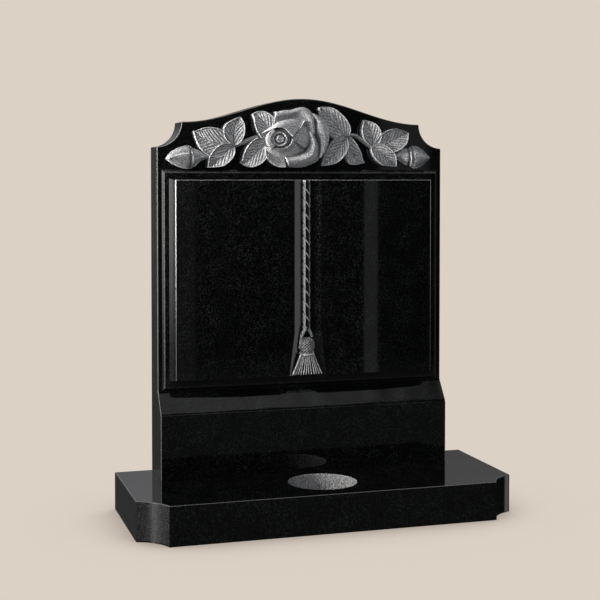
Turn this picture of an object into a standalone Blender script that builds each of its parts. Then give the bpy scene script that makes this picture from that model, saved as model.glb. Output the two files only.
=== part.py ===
"""A lawn headstone in polished granite: two pieces, one standing on the other.

The tablet is one stone. Its foot keeps the slab's full thickness, and above a concave flare
the face is cut back to a border. On the border stand an open book, with a twisted cord and
its tassel lying in the gutter, and a spray of one rose, leaves and two buds.
The base is a low block with scooped front corners and a round hole for a flower container.

Metres, +Z up, the front faces -Y. The origin is the middle of the base's underside.
"""

import math

import bmesh
import bpy
import numpy as np
from mathutils import Matrix

# Base block
BASE_WIDTH = 0.762
BASE_DEPTH = 0.305
BASE_HEIGHT = 0.076
CORNER_SCOOP = 0.053
CORNER_HOLLOW = 0.0095
HOLE_DIAMETER = 0.135
HOLE_SETBACK = 0.105
ARRIS = 0.002
BED_GAP = 0.0003

# Tablet, upwards from its underside
TABLET_WIDTH = 0.610
TABLET_SETBACK = 0.003
FOOT_THICKNESS = 0.100
FOOT_HEIGHT = 0.1285
FLARE_HEIGHT = 0.046
FLARE_STRAIGHT = 0.85
BORDER_CUT = 0.032
SHOULDER_HEIGHT = 0.7127
SHOULDER_SCOOP = 0.050
CROWN_RISE = 0.050

# Open book: the cover is a low plate with sloped sides, the pages stand on it
COVER_SIDE_MARGIN = 0.0099
COVER_TOP_MARGIN = 0.0985
COVER_BOTTOM_MARGIN = 0.0015
COVER_PROUD = 0.0055
COVER_SLOPE = 0.0045
LAND_SIDE = 0.0083
LAND_TOP = 0.0110
LAND_BOTTOM = 0.0130
PAGE_SIDE_SLOPE = 0.0100
PAGE_EDGE_PROUD = 0.0255
PAGE_CREST_PROUD = 0.0315
PAGE_CREST_SHARE = 0.40
PAGE_FALL_AT_GUTTER = 0.0015

# Gutter, cord and tassel
GUTTER_HALF = 0.029
GUTTER_FLOOR_HALF = 0.008
GUTTER_FLOOR_PROUD = 0.020
GUTTER_SPREAD = 0.011
CORD_RADIUS = 0.0080
CORD_AXIS_PROUD = 0.0195
CORD_LAY = 0.052
CORD_STRANDS = 2
CORD_GROOVE = 0.24
CORD_OVERLAP = 0.004
CORD_END_GAP = 0.001
TASSEL_LIFT = 0.0015
TASSEL_HEAD_LENGTH = 0.0353
TASSEL_FRINGE_LENGTH = 0.0487
TASSEL_HEAD_HALF = 0.0172
TASSEL_FRINGE_HALF = 0.0325
TASSEL_PROUD = 0.030
TASSEL_RIBS = 12
TASSEL_RIB_DEPTH = 0.09
FRINGE_OVERLAP = 0.002

# Carved spray, laid out from the rose's heart; places and heights of the carving in millimetres
SPRAY_LIFT = 0.065
SPRAY_HEART_X = -0.057
MM = 0.001

# How far raised work runs on into the stone behind it, and how far cutters run past what they cut
SINK = 0.006
CUTTER_CLEAR = 0.02

# What follows from the sizes above
TABLET_BOTTOM = BASE_HEIGHT + BED_GAP
TABLET_BACK = BASE_DEPTH / 2 - TABLET_SETBACK
FOOT_FRONT = TABLET_BACK - FOOT_THICKNESS
BORDER = FOOT_FRONT + BORDER_CUT
TABLET_HALF = TABLET_WIDTH / 2
SHOULDER_Z = TABLET_BOTTOM + SHOULDER_HEIGHT
FOOT_Z = TABLET_BOTTOM + FOOT_HEIGHT
FLARE_Z = FOOT_Z + FLARE_HEIGHT
COVER_HALF = TABLET_HALF - COVER_SIDE_MARGIN
COVER_TOP_Z = SHOULDER_Z - COVER_TOP_MARGIN
COVER_BOTTOM_Z = FLARE_Z + COVER_BOTTOM_MARGIN
PAGE_HALF = COVER_HALF - COVER_SLOPE - LAND_SIDE
PAGE_TOP_Z = COVER_TOP_Z - COVER_SLOPE - LAND_TOP
PAGE_BOTTOM_Z = COVER_BOTTOM_Z + COVER_SLOPE + LAND_BOTTOM
TASSEL_BOTTOM_Z = PAGE_BOTTOM_Z + TASSEL_LIFT
TASSEL_RING_Z = TASSEL_BOTTOM_Z + TASSEL_FRINGE_LENGTH
TASSEL_TOP_Z = TASSEL_RING_Z + TASSEL_HEAD_LENGTH
HEART_Z = COVER_TOP_Z + SPRAY_LIFT
HOLE_Y = HOLE_SETBACK - BASE_DEPTH / 2

# Each leaf: joint, tip, the two points its first edge passes, the two of its other edge, and
# how proud its rim stands. Places are millimetres right of and above the rose's heart.
LEAVES = {
    "left_low_outer": ((-93, -14), (-175, 14), ((-116, 16), (-148, 22)), ((-126, -38), (-158, -24)), 15),
    "left_high": ((-93, -14), (-78, 44), ((-113, 6), (-109, 28)), ((-74, 2), (-71, 27)), 15),
    "left_low_inner": ((-93, -15), (-146, -58), ((-119, -12), (-141, -32)), ((-95, -36), (-115, -54)), 17),
    "rose_high_left": ((-23, -4), (-53, 49), ((-41, 9), (-49, 28)), ((0, 25), (-23, 53)), 16),
    "rose_low_left": ((-15, -5), (-79, -48), ((-50, -1), (-70, -25)), ((-22, -35), (-50, -56)), 17),
    "rose_high_right": ((147, 6), (88, 65), ((151, 32), (123, 61)), ((119, 2), (96, 31)), 17),
    "low_middle": ((152, 5), (188, -47), ((163, -1), (177, -23)), ((145, -25), (154, -49)), 13),
    "rose_low_right": ((147, 6), (95, -54), ((123, 3), (102, -26)), ((148, -22), (127, -46)), 17),
    "right_high": ((204, -14), (185, 41), ((186, 0), (180, 19)), ((222, 5), (213, 30)), 17),
    "right_outer": ((205, -14), (285, 15), ((220, 9), (249, 23)), ((247, -26), (277, -9)), 17),
    "right_low": ((204, -14), (258, -55), ((226, -9), (251, -27)), ((204, -31), (224, -50)), 17),
}

LEAF_VALLEY = 0.42

# Each petal: four bearings and reaches of its outer edge, four of its inner edge, in degrees
# and millimetres round the heart, and how proud its outer edge, middle and inner edge stand.
PETALS = {
    "outer_right": (((34, 92), (16, 106), (-4, 105), (-23, 98)),
                    ((34, 82), (12, 68), (-4, 74), (-23, 88)), (11, 24, 18)),
    "top": (((98, 56), (64, 67), (36, 86), (9, 73)),
            ((112, 24), (76, 32), (48, 46), (14, 55)), (21, 17, 13)),
    "lower_right": (((2, 82), (-21, 95), (-42, 79), (-68, 61)),
                    ((5, 64), (-22, 56), (-45, 42), (-70, 34)), (14, 25, 19)),
    "lower_left": (((-151, 33), (-126, 45), (-101, 52), (-76, 59)),
                   ((-150, 26), (-125, 27), (-98, 29), (-72, 36)), (18, 15, 14)),
    "upper_lid": (((163, 38), (105, 30), (61, 48), (35, 65)),
                  ((163, 38), (120, 25), (65, 23), (11, 26)), (19, 26, 30)),
    "fan": (((33, 64), (17, 71), (-10, 69), (-26, 58)),
            ((24, 27), (14, 27), (4, 27), (-6, 27)), (20, 28, 24)),
    "lower_lid": (((-151, 35), (-106, 37), (-62, 45), (-26, 55)),
                  ((-151, 35), (-112, 21), (-60, 21), (8, 26)), (20, 25, 29)),
    "heart_left": (((137, 23), (168, 27), (-162, 27), (-138, 24)),
                   ((120, 12), (165, 13), (-165, 13), (-120, 12)), (24, 30, 25)),
}

# The low mass under the petals: bearings and reaches of its rim, and its height
CUSHION = ((98, 50), (60, 58), (34, 82), (10, 96), (-22, 88),
           (-45, 70), (-76, 52), (-126, 38), (-160, 28), (155, 30))
CUSHION_PROUD = 13

# The furled middle: a cone whose surface steps down along one spiral
HEART_REACH = 21
HEART_PROUD = 31
HEART_FALL = 0.16
HEART_STEP = 4.0
HEART_TURNS = 1.6

# Each bud: the first and the other edge of its closed petals, as four places each, and how
# proud it stands in the middle. Each calyx is given in the same way.
BUDS = {
    "left": (((-180, -20), (-190, -15), (-213, -23), (-230, -41)),
             ((-176, -56), (-192, -60), (-215, -52), (-230, -41)), 17),
    "right": (((288, -19), (300, -12), (318, -20), (334, -37)),
              ((290, -52), (303, -58), (320, -50), (334, -37)), 17),
}
CALYXES = {
    "left": (((-182, -18), (-170, -22), (-158, -27), (-142, -34)),
             ((-177, -57), (-168, -52), (-160, -45), (-146, -40)), 14),
    "right": (((286, -18), (276, -18), (267, -22), (255, -30)),
              ((286, -52), (276, -49), (268, -43), (257, -36)), 15),
}
STEMS = {
    "left": ((-90, -14), (-74, -8), (-60, -2), (-42, 4)),
    "right": ((152, 8), (168, 9), (182, 1), (206, -16)),
}
STEM_HALF = 3.5
STEM_PROUD = 9

# How finely the curves are divided
LEAF_STEPS = (7, 4)
PETAL_STEPS = (9, 3)
STEM_STEPS = (6, 4)
CROWN_STEPS = 28
SCOOP_STEPS = 8
FLARE_STEPS = 8
CORD_SIDES = 12
CORD_STEPS_A_LOBE = 5
HOLE_SIDES = 40


def clear_scene():
    """Empties the scene before the model is built."""
    for item in list(bpy.data.objects):
        bpy.data.objects.remove(item)


def stone(name, colour, roughness):
    """A polished granite material."""
    made = bpy.data.materials.new(name)
    made.use_nodes = True
    shader = made.node_tree.nodes["Principled BSDF"]
    shader.inputs["Base Color"].default_value = (*colour, 1.0)
    shader.inputs["Roughness"].default_value = roughness
    shader.inputs["Metallic"].default_value = 0.0
    return made


def collection(name):
    """A named collection under the scene's own."""
    made = bpy.data.collections.new(name)
    bpy.context.scene.collection.children.link(made)
    return made


def add_object(name, mesh, home):
    """Puts a mesh in the scene as one object of a collection."""
    made = bpy.data.objects.new(name, mesh)
    home.objects.link(made)
    return made


def hide_as_tool(item):
    """Marks an object as a tool that cuts or joins, which is no piece itself."""
    item.hide_render = True
    item.display_type = "WIRE"


def finish_bmesh(work, name, home):
    """Turns a bmesh into an object with its faces pointing out."""
    bmesh.ops.remove_doubles(work, verts=work.verts, dist=1e-6)
    bmesh.ops.dissolve_degenerate(work, edges=work.edges, dist=1e-7)
    bmesh.ops.recalc_face_normals(work, faces=work.faces)
    mesh = bpy.data.meshes.new(name)
    work.to_mesh(mesh)
    work.free()
    return add_object(name, mesh, home)


def prism(name, outline, thickness, placing, home):
    """An outline in its own XY plane, made a flat curve and thickened along its own Z."""
    curve = bpy.data.curves.new(name, "CURVE")
    curve.dimensions = "2D"
    curve.fill_mode = "BOTH"
    curve.extrude = thickness / 2
    spline = curve.splines.new("POLY")
    spline.points.add(len(outline) - 1)
    for point, place in zip(spline.points, outline):
        point.co = (place[0], place[1], 0.0, 1.0)
    spline.use_cyclic_u = True
    drawn = add_object(name + "_outline", curve, home)
    drawn.matrix_world = placing
    bpy.context.view_layer.update()
    seen = drawn.evaluated_get(bpy.context.evaluated_depsgraph_get())
    mesh = bpy.data.meshes.new_from_object(seen)
    work = bmesh.new()
    work.from_mesh(mesh)
    bmesh.ops.transform(work, matrix=drawn.matrix_world, verts=work.verts)
    bmesh.ops.remove_doubles(work, verts=work.verts, dist=1e-5)
    bmesh.ops.recalc_face_normals(work, faces=work.faces)
    work.to_mesh(mesh)
    work.free()
    mesh.name = name
    bpy.data.objects.remove(drawn)
    return add_object(name, mesh, home)


def loft(name, rings, home):
    """A closed solid through equal rings of points, with a flat cap on each end."""
    work = bmesh.new()
    rows = [[work.verts.new(point) for point in ring] for ring in rings]
    count = len(rows[0])
    for low, high in zip(rows, rows[1:]):
        for i in range(count):
            j = (i + 1) % count
            work.faces.new((low[i], low[j], high[j], high[i]))
    work.faces.new(rows[0])
    work.faces.new(list(reversed(rows[-1])))
    return finish_bmesh(work, name, home)


def raised(name, front, home):
    """A closed solid between a relief surface, a grid of points, and a plane sunk behind the border."""
    back = front.copy()
    back[:, :, 1] = BORDER + SINK
    work = bmesh.new()
    layers = []
    for grid in (front, back):
        layers.append([[work.verts.new(point) for point in row] for row in grid])
    rows, columns = front.shape[:2]
    for layer in layers:
        for i in range(rows - 1):
            for j in range(columns - 1):
                work.faces.new((layer[i][j], layer[i + 1][j], layer[i + 1][j + 1], layer[i][j + 1]))
    rim = [(i, 0) for i in range(rows)] + [(rows - 1, j) for j in range(1, columns)]
    rim += [(i, columns - 1) for i in range(rows - 2, -1, -1)] + [(0, j) for j in range(columns - 2, 0, -1)]
    for (a, b), (c, d) in zip(rim, rim[1:] + rim[:1]):
        work.faces.new((layers[0][a][b], layers[0][c][d], layers[1][c][d], layers[1][a][b]))
    return finish_bmesh(work, name, home)


def arc(centre, radius, start, end, steps):
    """Points along a circular arc, angles in degrees."""
    turn = np.radians(np.linspace(start, end, steps + 1))
    return [(centre[0] + radius * math.cos(a), centre[1] + radius * math.sin(a)) for a in turn]


def through_four(places, shares):
    """The cubic curve that passes its four places at shares 0, 1/3, 2/3 and 1 of its run."""
    p = np.array(places, float)
    s = np.asarray(shares)[:, None]
    first = (-5 * p[0] + 18 * p[1] - 9 * p[2] + 2 * p[3]) / 6
    second = (2 * p[0] - 9 * p[1] + 18 * p[2] - 5 * p[3]) / 6
    return (1 - s) ** 3 * p[0] + 3 * s * (1 - s) ** 2 * first + 3 * s**2 * (1 - s) * second + s**3 * p[3]


def on_stone(flat, proud):
    """Places from the heart and heights above the border, in millimetres, to points in the model."""
    x = SPRAY_HEART_X + flat[..., 0] * MM
    z = HEART_Z + flat[..., 1] * MM
    return np.stack([x, BORDER - proud * MM, z], axis=-1)


def between(first, other, steps, height):
    """A patch between two edge curves, whose height is a function of the shares along and across.

    The third value that the function gets is how far the edges have opened: 0 where they meet
    in a point, 1 past a quarter of the greatest width.
    """
    s = np.linspace(0, 1, steps[0] + 1)
    t = np.linspace(0, 1, steps[1] + 1)
    a = through_four(first, s)[:, None, :]
    b = through_four(other, s)[:, None, :]
    width = np.linalg.norm(b - a, axis=-1)
    opened = np.clip(4 * width / width.max(), 0, 1)
    flat = a + (b - a) * t[None, :, None]
    return on_stone(flat, height(s[:, None], t[None, :], opened))


def polar(places):
    """Bearings in degrees and reaches to places right of and above the heart."""
    turns, reaches = np.array(places, float).T
    turns = np.radians(turns)
    return np.stack([reaches * np.cos(turns), reaches * np.sin(turns)], axis=1)


def leaf(name, home):
    """A leaf: a valley along its midrib, rims raised on both sides."""
    joint, tip, first, other, rim = LEAVES[name]

    def height(s, t, opened):
        along = 0.55 + 0.45 * np.sin(math.pi * (0.12 + 0.80 * s))
        return rim * along * (1 - LEAF_VALLEY * opened * (1 - np.abs(2 * t - 1)))

    front = between((joint, *first, tip), (joint, *other, tip), LEAF_STEPS, height)
    return raised("leaf_" + name, front, home)


def petal(name, home):
    """A petal of the rose: a patch round the heart, crowned between its edges."""
    outer, inner, (outside, middle, inside) = PETALS[name]

    def height(s, t, opened):
        section = outside * (1 - t) * (1 - 2 * t) + 4 * middle * t * (1 - t) + inside * t * (2 * t - 1)
        return outside + (section - outside) * opened

    front = between(polar(outer), polar(inner), PETAL_STEPS, height)
    return raised("petal_" + name, front, home)


def cushion(home):
    """The low mass that the petals stand on."""
    rim = polar(CUSHION)
    front = on_stone(rim, np.full(len(rim), CUSHION_PROUD))
    back = front.copy()
    back[:, 1] = BORDER + SINK
    return loft("rose_cushion", (back, front), home)


def heart(home):
    """The furled middle of the rose: a cone with one spiral step running out from its tip."""
    reaches = np.array([0.0, 0.22, 0.40, 0.58, 0.76, 1.0]) * HEART_REACH
    turns = np.radians(np.linspace(0, 360, 17))
    reach = reaches[:, None] + 0 * turns[None, :]
    winding = np.mod(reach / HEART_REACH * HEART_TURNS - turns[None, :] / (2 * math.pi), 1.0)
    proud = HEART_PROUD - HEART_FALL * reach - HEART_STEP * winding * (reach > 0)
    flat = np.stack([reach * np.cos(turns), reach * np.sin(turns)], axis=-1)
    front = on_stone(flat, proud)
    front[:, -1] = front[:, 0]
    work = bmesh.new()
    rows = [[work.verts.new(point) for point in ring[:-1]] for ring in front[1:]]
    tip = work.verts.new(front[0, 0])
    sunk = front[-1, :-1].copy()
    sunk[:, 1] = BORDER + SINK
    rows.append([work.verts.new(point) for point in sunk])
    count = len(rows[0])
    for low, high in zip(rows, rows[1:]):
        for i in range(count):
            j = (i + 1) % count
            work.faces.new((low[i], low[j], high[j], high[i]))
    for i in range(count):
        work.faces.new((tip, rows[0][(i + 1) % count], rows[0][i]))
    work.faces.new(rows[-1])
    return finish_bmesh(work, "rose_heart", home)


def rounded(name, first, other, proud, home):
    """A body with a round section, such as a bud or a stem, lying on the border."""
    def height(s, t, opened):
        section = np.sqrt(np.clip(1 - (2 * t - 1) ** 2, 0.04, 1))
        return proud * (0.5 + (section - 0.5) * opened)

    return raised(name, between(first, other, STEM_STEPS, height), home)


def stem(name, home):
    """A half-round stem along its own four places."""
    line = np.array(STEMS[name], float)
    run = np.gradient(line, axis=0)
    side = np.stack([-run[:, 1], run[:, 0]], axis=1) / np.linalg.norm(run, axis=1)[:, None]
    return rounded("stem_" + name, line + side * STEM_HALF, line - side * STEM_HALF, STEM_PROUD, home)


def tablet_outline():
    """The tablet's front outline from its foot, up one side, over the crown and down the other."""
    reach = TABLET_HALF - SHOULDER_SCOOP
    x = np.linspace(reach, -reach, CROWN_STEPS + 1)
    z = SHOULDER_Z + CROWN_RISE * (1 + np.cos(math.pi * x / reach)) / 2
    right = arc((TABLET_HALF, SHOULDER_Z), SHOULDER_SCOOP, 270, 180, SCOOP_STEPS)
    left = arc((-TABLET_HALF, SHOULDER_Z), SHOULDER_SCOOP, 0, -90, SCOOP_STEPS)
    feet = [(-TABLET_HALF, TABLET_BOTTOM), (TABLET_HALF, TABLET_BOTTOM)]
    return feet + right[:-1] + list(zip(x, z)) + left[1:]


def recess_outline():
    """Side view of what is cut from the slab's front: the flare, straight and rounded at its top, then
    straight up."""
    rise = np.linspace(0, 1, FLARE_STEPS + 1)
    rounding = np.clip(rise - FLARE_STRAIGHT, 0, 1) ** 2 / (2 * (1 - FLARE_STRAIGHT))
    depth = FOOT_FRONT + BORDER_CUT * (rise - rounding) * 2 / (1 + FLARE_STRAIGHT)
    curve = list(zip(depth, FOOT_Z + FLARE_HEIGHT * rise))
    over = SHOULDER_Z + CROWN_RISE + CUTTER_CLEAR
    clear = FOOT_FRONT - CUTTER_CLEAR
    return [(clear, FOOT_Z)] + curve + [(BORDER, over), (clear, over)]


def page_outline():
    """Plan view of the pages, from the cover's land round both crowned pages, before the gutter is cut."""
    arris = PAGE_HALF - PAGE_SIDE_SLOPE
    crest = PAGE_CREST_SHARE * arris
    x = np.concatenate([np.linspace(arris, crest, 8), np.linspace(crest, 0, 5)[1:]])
    outward = (PAGE_CREST_PROUD - PAGE_EDGE_PROUD) * ((x - crest) / (arris - crest)) ** 2
    inward = PAGE_FALL_AT_GUTTER * ((crest - x) / crest) ** 2
    page = list(zip(x, BORDER - PAGE_CREST_PROUD + np.where(x > crest, outward, inward)))
    run_on = PAGE_SIDE_SLOPE / (PAGE_EDGE_PROUD - COVER_PROUD) * COVER_PROUD / 2
    half = [(PAGE_HALF + run_on, BORDER - COVER_PROUD / 2)] + page
    other = [(-px, py) for px, py in reversed(half[:-1])]
    return half + other


def upright(y):
    """Stands an outline up, facing the front, with its middle at a depth."""
    return Matrix.Translation((0, y, 0)) @ Matrix.Rotation(math.pi / 2, 4, "X")


def sideways():
    """Turns an outline into a side view: its x runs to the back and its y runs up."""
    return Matrix(((0, 0, 1, 0), (1, 0, 0, 0), (0, 1, 0, 0), (0, 0, 0, 1)))


def plate(name, half, low, high, proud, slope, home):
    """A raised plate whose sloped sides run on behind the border."""
    rings = []
    for inset, depth in ((-slope * SINK / proud, -SINK), (slope, proud)):
        y = BORDER - depth
        x = half - inset
        bottom = low + inset
        top = high - inset
        rings.append(((-x, y, bottom), (x, y, bottom), (x, y, top), (-x, y, top)))
    return loft(name, rings, home)


def gutter_cutter(home):
    """The hollow between the pages, straight beside the cord and wider round the tassel."""
    floor = BORDER - GUTTER_FLOOR_PROUD
    edge = BORDER - PAGE_CREST_PROUD
    far = edge - CUTTER_CLEAR
    more = CUTTER_CLEAR * (GUTTER_HALF - GUTTER_FLOOR_HALF) / (floor - edge)
    below = PAGE_BOTTOM_Z - CUTTER_CLEAR
    above = COVER_TOP_Z + CUTTER_CLEAR
    rings = []
    for z, spread in ((below, GUTTER_SPREAD), (TASSEL_TOP_Z, 0.0), (above, 0.0)):
        narrow = GUTTER_FLOOR_HALF + spread
        wide = GUTTER_HALF + spread + more
        rings.append(((-narrow, floor, z), (narrow, floor, z), (wide, far, z), (-wide, far, z)))
    return loft("gutter_cutter", rings, home)


def cord(home):
    """The twisted cord: strands round one another, read as lobes that turn along its length."""
    bottom = TASSEL_TOP_Z - CORD_OVERLAP
    top = PAGE_TOP_Z - CORD_END_GAP
    steps = round((top - bottom) / CORD_LAY * CORD_STRANDS * CORD_STEPS_A_LOBE)
    turn = np.linspace(0, 2 * math.pi, CORD_SIDES, endpoint=False)
    rings = []
    for z in np.linspace(bottom, top, steps + 1):
        twist = 2 * math.pi * z / CORD_LAY
        lobe = np.abs(np.cos(CORD_STRANDS * (turn + twist) / 2))
        radius = CORD_RADIUS * (1 - CORD_GROOVE * (1 - lobe))
        x = radius * np.cos(turn)
        y = BORDER - CORD_AXIS_PROUD + radius * np.sin(turn)
        rings.append(np.stack([x, y, np.full(CORD_SIDES, z)], axis=1))
    return loft("cord", rings, home)


def tassel_rings(levels, ribs, rib_depth):
    """Half-round rings, flat behind, at levels of (height, half width, proud), with ribs if asked."""
    sides = max(12, 2 * ribs)
    turn = np.linspace(math.pi, 2 * math.pi, sides + 1)
    ripple = 1 - rib_depth * (np.arange(sides + 1) % 2)
    rings = []
    for z, half, proud in levels:
        floor = BORDER - GUTTER_FLOOR_PROUD + SINK / 2
        depth = floor - (BORDER - proud)
        x = half * ripple * np.cos(turn)
        y = floor + depth * ripple * np.sin(turn)
        rings.append(np.stack([x, y, np.full(sides + 1, z)], axis=1))
    return rings


def tassel_head(home):
    """The netted head, a dome that swells downwards, with the ring that binds the fringe."""
    shape = ((0.0, 0.92), (0.06, 1.0), (0.12, 0.92), (0.30, 1.0), (0.60, 0.98), (0.85, 0.74), (1.0, 0.42))
    levels = []
    for rise, share in shape:
        proud = GUTTER_FLOOR_PROUD + (TASSEL_PROUD - GUTTER_FLOOR_PROUD) * share
        levels.append((TASSEL_RING_Z + TASSEL_HEAD_LENGTH * rise, TASSEL_HEAD_HALF * share, proud))
    return loft("tassel_head", tassel_rings(levels, 0, 0.0), home)


def tassel_fringe(home):
    """The fringe: rounded threads that spread from the ring down to the pages' lower edge."""
    high = TASSEL_RING_Z + FRINGE_OVERLAP
    waist = TASSEL_HEAD_HALF - FRINGE_OVERLAP
    levels = []
    for fall in (0.0, 0.35, 0.7, 1.0):
        half = waist + (TASSEL_FRINGE_HALF - waist) * fall
        proud = TASSEL_PROUD - FRINGE_OVERLAP * (1 - fall)
        levels.append((high + (TASSEL_BOTTOM_Z - high) * fall, half, proud))
    return loft("tassel_fringe", tassel_rings(levels, TASSEL_RIBS, TASSEL_RIB_DEPTH), home)


def base_outline():
    """Plan view of the base: square at the back, a concave scoop at each front corner."""
    half, front, back = BASE_WIDTH / 2, -BASE_DEPTH / 2, BASE_DEPTH / 2
    chord = CORNER_SCOOP * math.sqrt(2)
    radius = (chord**2 / 4 + CORNER_HOLLOW**2) / (2 * CORNER_HOLLOW)
    spread = math.degrees(math.asin(chord / 2 / radius))
    out = (radius - CORNER_HOLLOW) / math.sqrt(2) - CORNER_SCOOP / 2
    left = arc((-half - out, front - out), radius, 45 + spread, 45 - spread, SCOOP_STEPS)
    right = arc((half + out, front - out), radius, 135 + spread, 135 - spread, SCOOP_STEPS)
    return [(half, back), (-half, back)] + left + right


def add_boolean(piece, operation, tool=None, tools=None):
    """Cuts or joins a piece with one object, or with a whole collection."""
    change = piece.modifiers.new(operation.title(), "BOOLEAN")
    change.operation = operation
    change.solver = "EXACT"
    if tools:
        change.operand_type = "COLLECTION"
        change.collection = tools
    else:
        change.object = tool


def add_arris(piece):
    """Takes the sharp edges off a piece, as the mason's polished arris."""
    edge = piece.modifiers.new("Arris", "BEVEL")
    edge.width = ARRIS
    edge.segments = 1
    edge.limit_method = "ANGLE"
    edge.angle_limit = math.radians(40)


def build_base(home, tools, finish):
    """The base block, its arris and the hole for the flower container."""
    piece = prism("base", base_outline(), BASE_HEIGHT, Matrix.Translation((0, 0, BASE_HEIGHT / 2)), home)
    radius = HOLE_DIAMETER / 2
    depth = BASE_HEIGHT + 2 * CUTTER_CLEAR
    placing = Matrix.Translation((0, HOLE_Y, BASE_HEIGHT / 2))
    work = bmesh.new()
    bmesh.ops.create_cone(work, cap_ends=True, segments=HOLE_SIDES, radius1=radius, radius2=radius, depth=depth)
    bmesh.ops.transform(work, matrix=placing, verts=work.verts)
    hole = finish_bmesh(work, "hole_cutter", tools)
    hide_as_tool(hole)
    add_boolean(piece, "DIFFERENCE", tool=hole)
    add_arris(piece)
    piece.data.materials.append(finish)
    return piece


def build_tablet(home, tools, raised_work, finish):
    """The tablet: slab, flared foot, open book, cord, tassel and carved spray, all one stone."""
    middle = TABLET_BACK - FOOT_THICKNESS / 2
    piece = prism("tablet", tablet_outline(), FOOT_THICKNESS, upright(middle), home)
    across = TABLET_WIDTH + 2 * CUTTER_CLEAR
    recess = prism("recess_cutter", recess_outline(), across, sideways(), tools)
    gutter = gutter_cutter(tools)
    for tool in (recess, gutter):
        hide_as_tool(tool)
    add_boolean(piece, "DIFFERENCE", tool=recess)
    add_arris(piece)

    plate("cover", COVER_HALF, COVER_BOTTOM_Z, COVER_TOP_Z, COVER_PROUD, COVER_SLOPE, raised_work)
    depth = PAGE_TOP_Z - PAGE_BOTTOM_Z
    centred = Matrix.Translation((0, 0, PAGE_BOTTOM_Z + depth / 2))
    pages = prism("pages", page_outline(), depth, centred, raised_work)
    add_boolean(pages, "DIFFERENCE", tool=gutter)
    cord(raised_work)
    tassel_head(raised_work)
    tassel_fringe(raised_work)
    cushion(raised_work)
    heart(raised_work)
    for name in PETALS:
        petal(name, raised_work)
    for name in LEAVES:
        leaf(name, raised_work)
    for name in STEMS:
        stem(name, raised_work)
    for kind, shapes in (("bud_", BUDS), ("calyx_", CALYXES)):
        for name, (first, other, proud) in shapes.items():
            rounded(kind + name, first, other, proud, raised_work)
    for tool in raised_work.objects:
        hide_as_tool(tool)
    add_boolean(piece, "UNION", tools=raised_work)
    piece.data.materials.append(finish)
    return piece


def main():
    clear_scene()
    home = collection("headstone")
    tools = collection("cutters")
    raised_work = collection("raised_work")
    build_base(home, tools, stone("base_granite", (0.012, 0.012, 0.013), 0.08))
    build_tablet(home, tools, raised_work, stone("tablet_granite", (0.012, 0.012, 0.013), 0.08))


main()
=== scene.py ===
# %% [markdown]
# # A black granite lawn headstone
# This lesson dresses a headstone of two stones. A low base lies on the ground, and a tablet
# stands on it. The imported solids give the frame: their boxes and places are measured here and
# never changed. Everything that shows is made again as finer surfaces, worked out with numpy.

# %% The frame
import math

import bmesh
import bpy
import numpy as np
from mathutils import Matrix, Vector


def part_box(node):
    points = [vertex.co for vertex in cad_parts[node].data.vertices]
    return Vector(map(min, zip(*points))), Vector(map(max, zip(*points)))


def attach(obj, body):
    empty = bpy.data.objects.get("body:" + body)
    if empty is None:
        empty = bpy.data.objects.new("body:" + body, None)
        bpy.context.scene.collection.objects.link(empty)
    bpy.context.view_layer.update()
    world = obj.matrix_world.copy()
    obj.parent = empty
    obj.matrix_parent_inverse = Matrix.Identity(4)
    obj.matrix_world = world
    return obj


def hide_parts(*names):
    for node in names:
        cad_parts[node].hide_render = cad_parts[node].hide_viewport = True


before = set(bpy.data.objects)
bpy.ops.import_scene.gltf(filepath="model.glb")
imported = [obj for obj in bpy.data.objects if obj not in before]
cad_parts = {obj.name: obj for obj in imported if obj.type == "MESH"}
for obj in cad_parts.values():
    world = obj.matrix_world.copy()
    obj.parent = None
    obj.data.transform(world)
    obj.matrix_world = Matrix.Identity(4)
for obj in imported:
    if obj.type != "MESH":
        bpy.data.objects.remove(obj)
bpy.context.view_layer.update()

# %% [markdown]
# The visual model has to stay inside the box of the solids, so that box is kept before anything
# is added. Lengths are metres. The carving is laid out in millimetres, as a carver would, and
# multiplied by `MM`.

MM = 0.001
BASE_LOW, BASE_HIGH = (np.array(corner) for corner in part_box("base"))
TABLET_LOW, TABLET_HIGH = (np.array(corner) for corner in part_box("tablet"))
print("base", np.round((BASE_HIGH - BASE_LOW) / MM, 1))
print("tablet", np.round((TABLET_HIGH - TABLET_LOW) / MM, 1))

# %% [markdown]
# A mason reads a stone from its back face and its bed, so the depths of all mouldings follow
# from those two. `BORDER` is the flat face that the carving stands on.

# %% Sizes of the tablet's mouldings
TABLET_HALF = TABLET_HIGH[0]
TABLET_BED = TABLET_LOW[2]
CROWN_Z = TABLET_HIGH[2]
BACK_Y = TABLET_HIGH[1]
FOOT_Y = TABLET_LOW[1]
BORDER = FOOT_Y + 32 * MM
FOOT_Z = TABLET_BED + 128.5 * MM
FLARE_Z = FOOT_Z + 46 * MM
CROWN_RISE = 50 * MM
SHOULDER_Z = CROWN_Z - CROWN_RISE
SHOULDER_SCOOP = 50 * MM
SINK = 6 * MM

COVER_HALF = TABLET_HALF - 9.9 * MM
COVER_LOW = FLARE_Z + 1.5 * MM
COVER_TOP = SHOULDER_Z - 98.5 * MM
COVER_PROUD = 5.5 * MM
COVER_SLOPE = 4.5 * MM
PAGE_SLOPE = 10.0 * MM
TOP_SLOPE_SHARE = 0.3
PAGE_HALF = COVER_HALF - COVER_SLOPE - 9.2 * MM - PAGE_SLOPE
PAGE_TOP = COVER_TOP - COVER_SLOPE - 11.0 * MM - TOP_SLOPE_SHARE * PAGE_SLOPE
PAGE_LOW = COVER_LOW + COVER_SLOPE + 13.0 * MM + TOP_SLOPE_SHARE * PAGE_SLOPE
PAGE_EDGE = 25.5 * MM
PAGE_CREST = 31.5 * MM
CREST_X = 0.40 * PAGE_HALF

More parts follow.
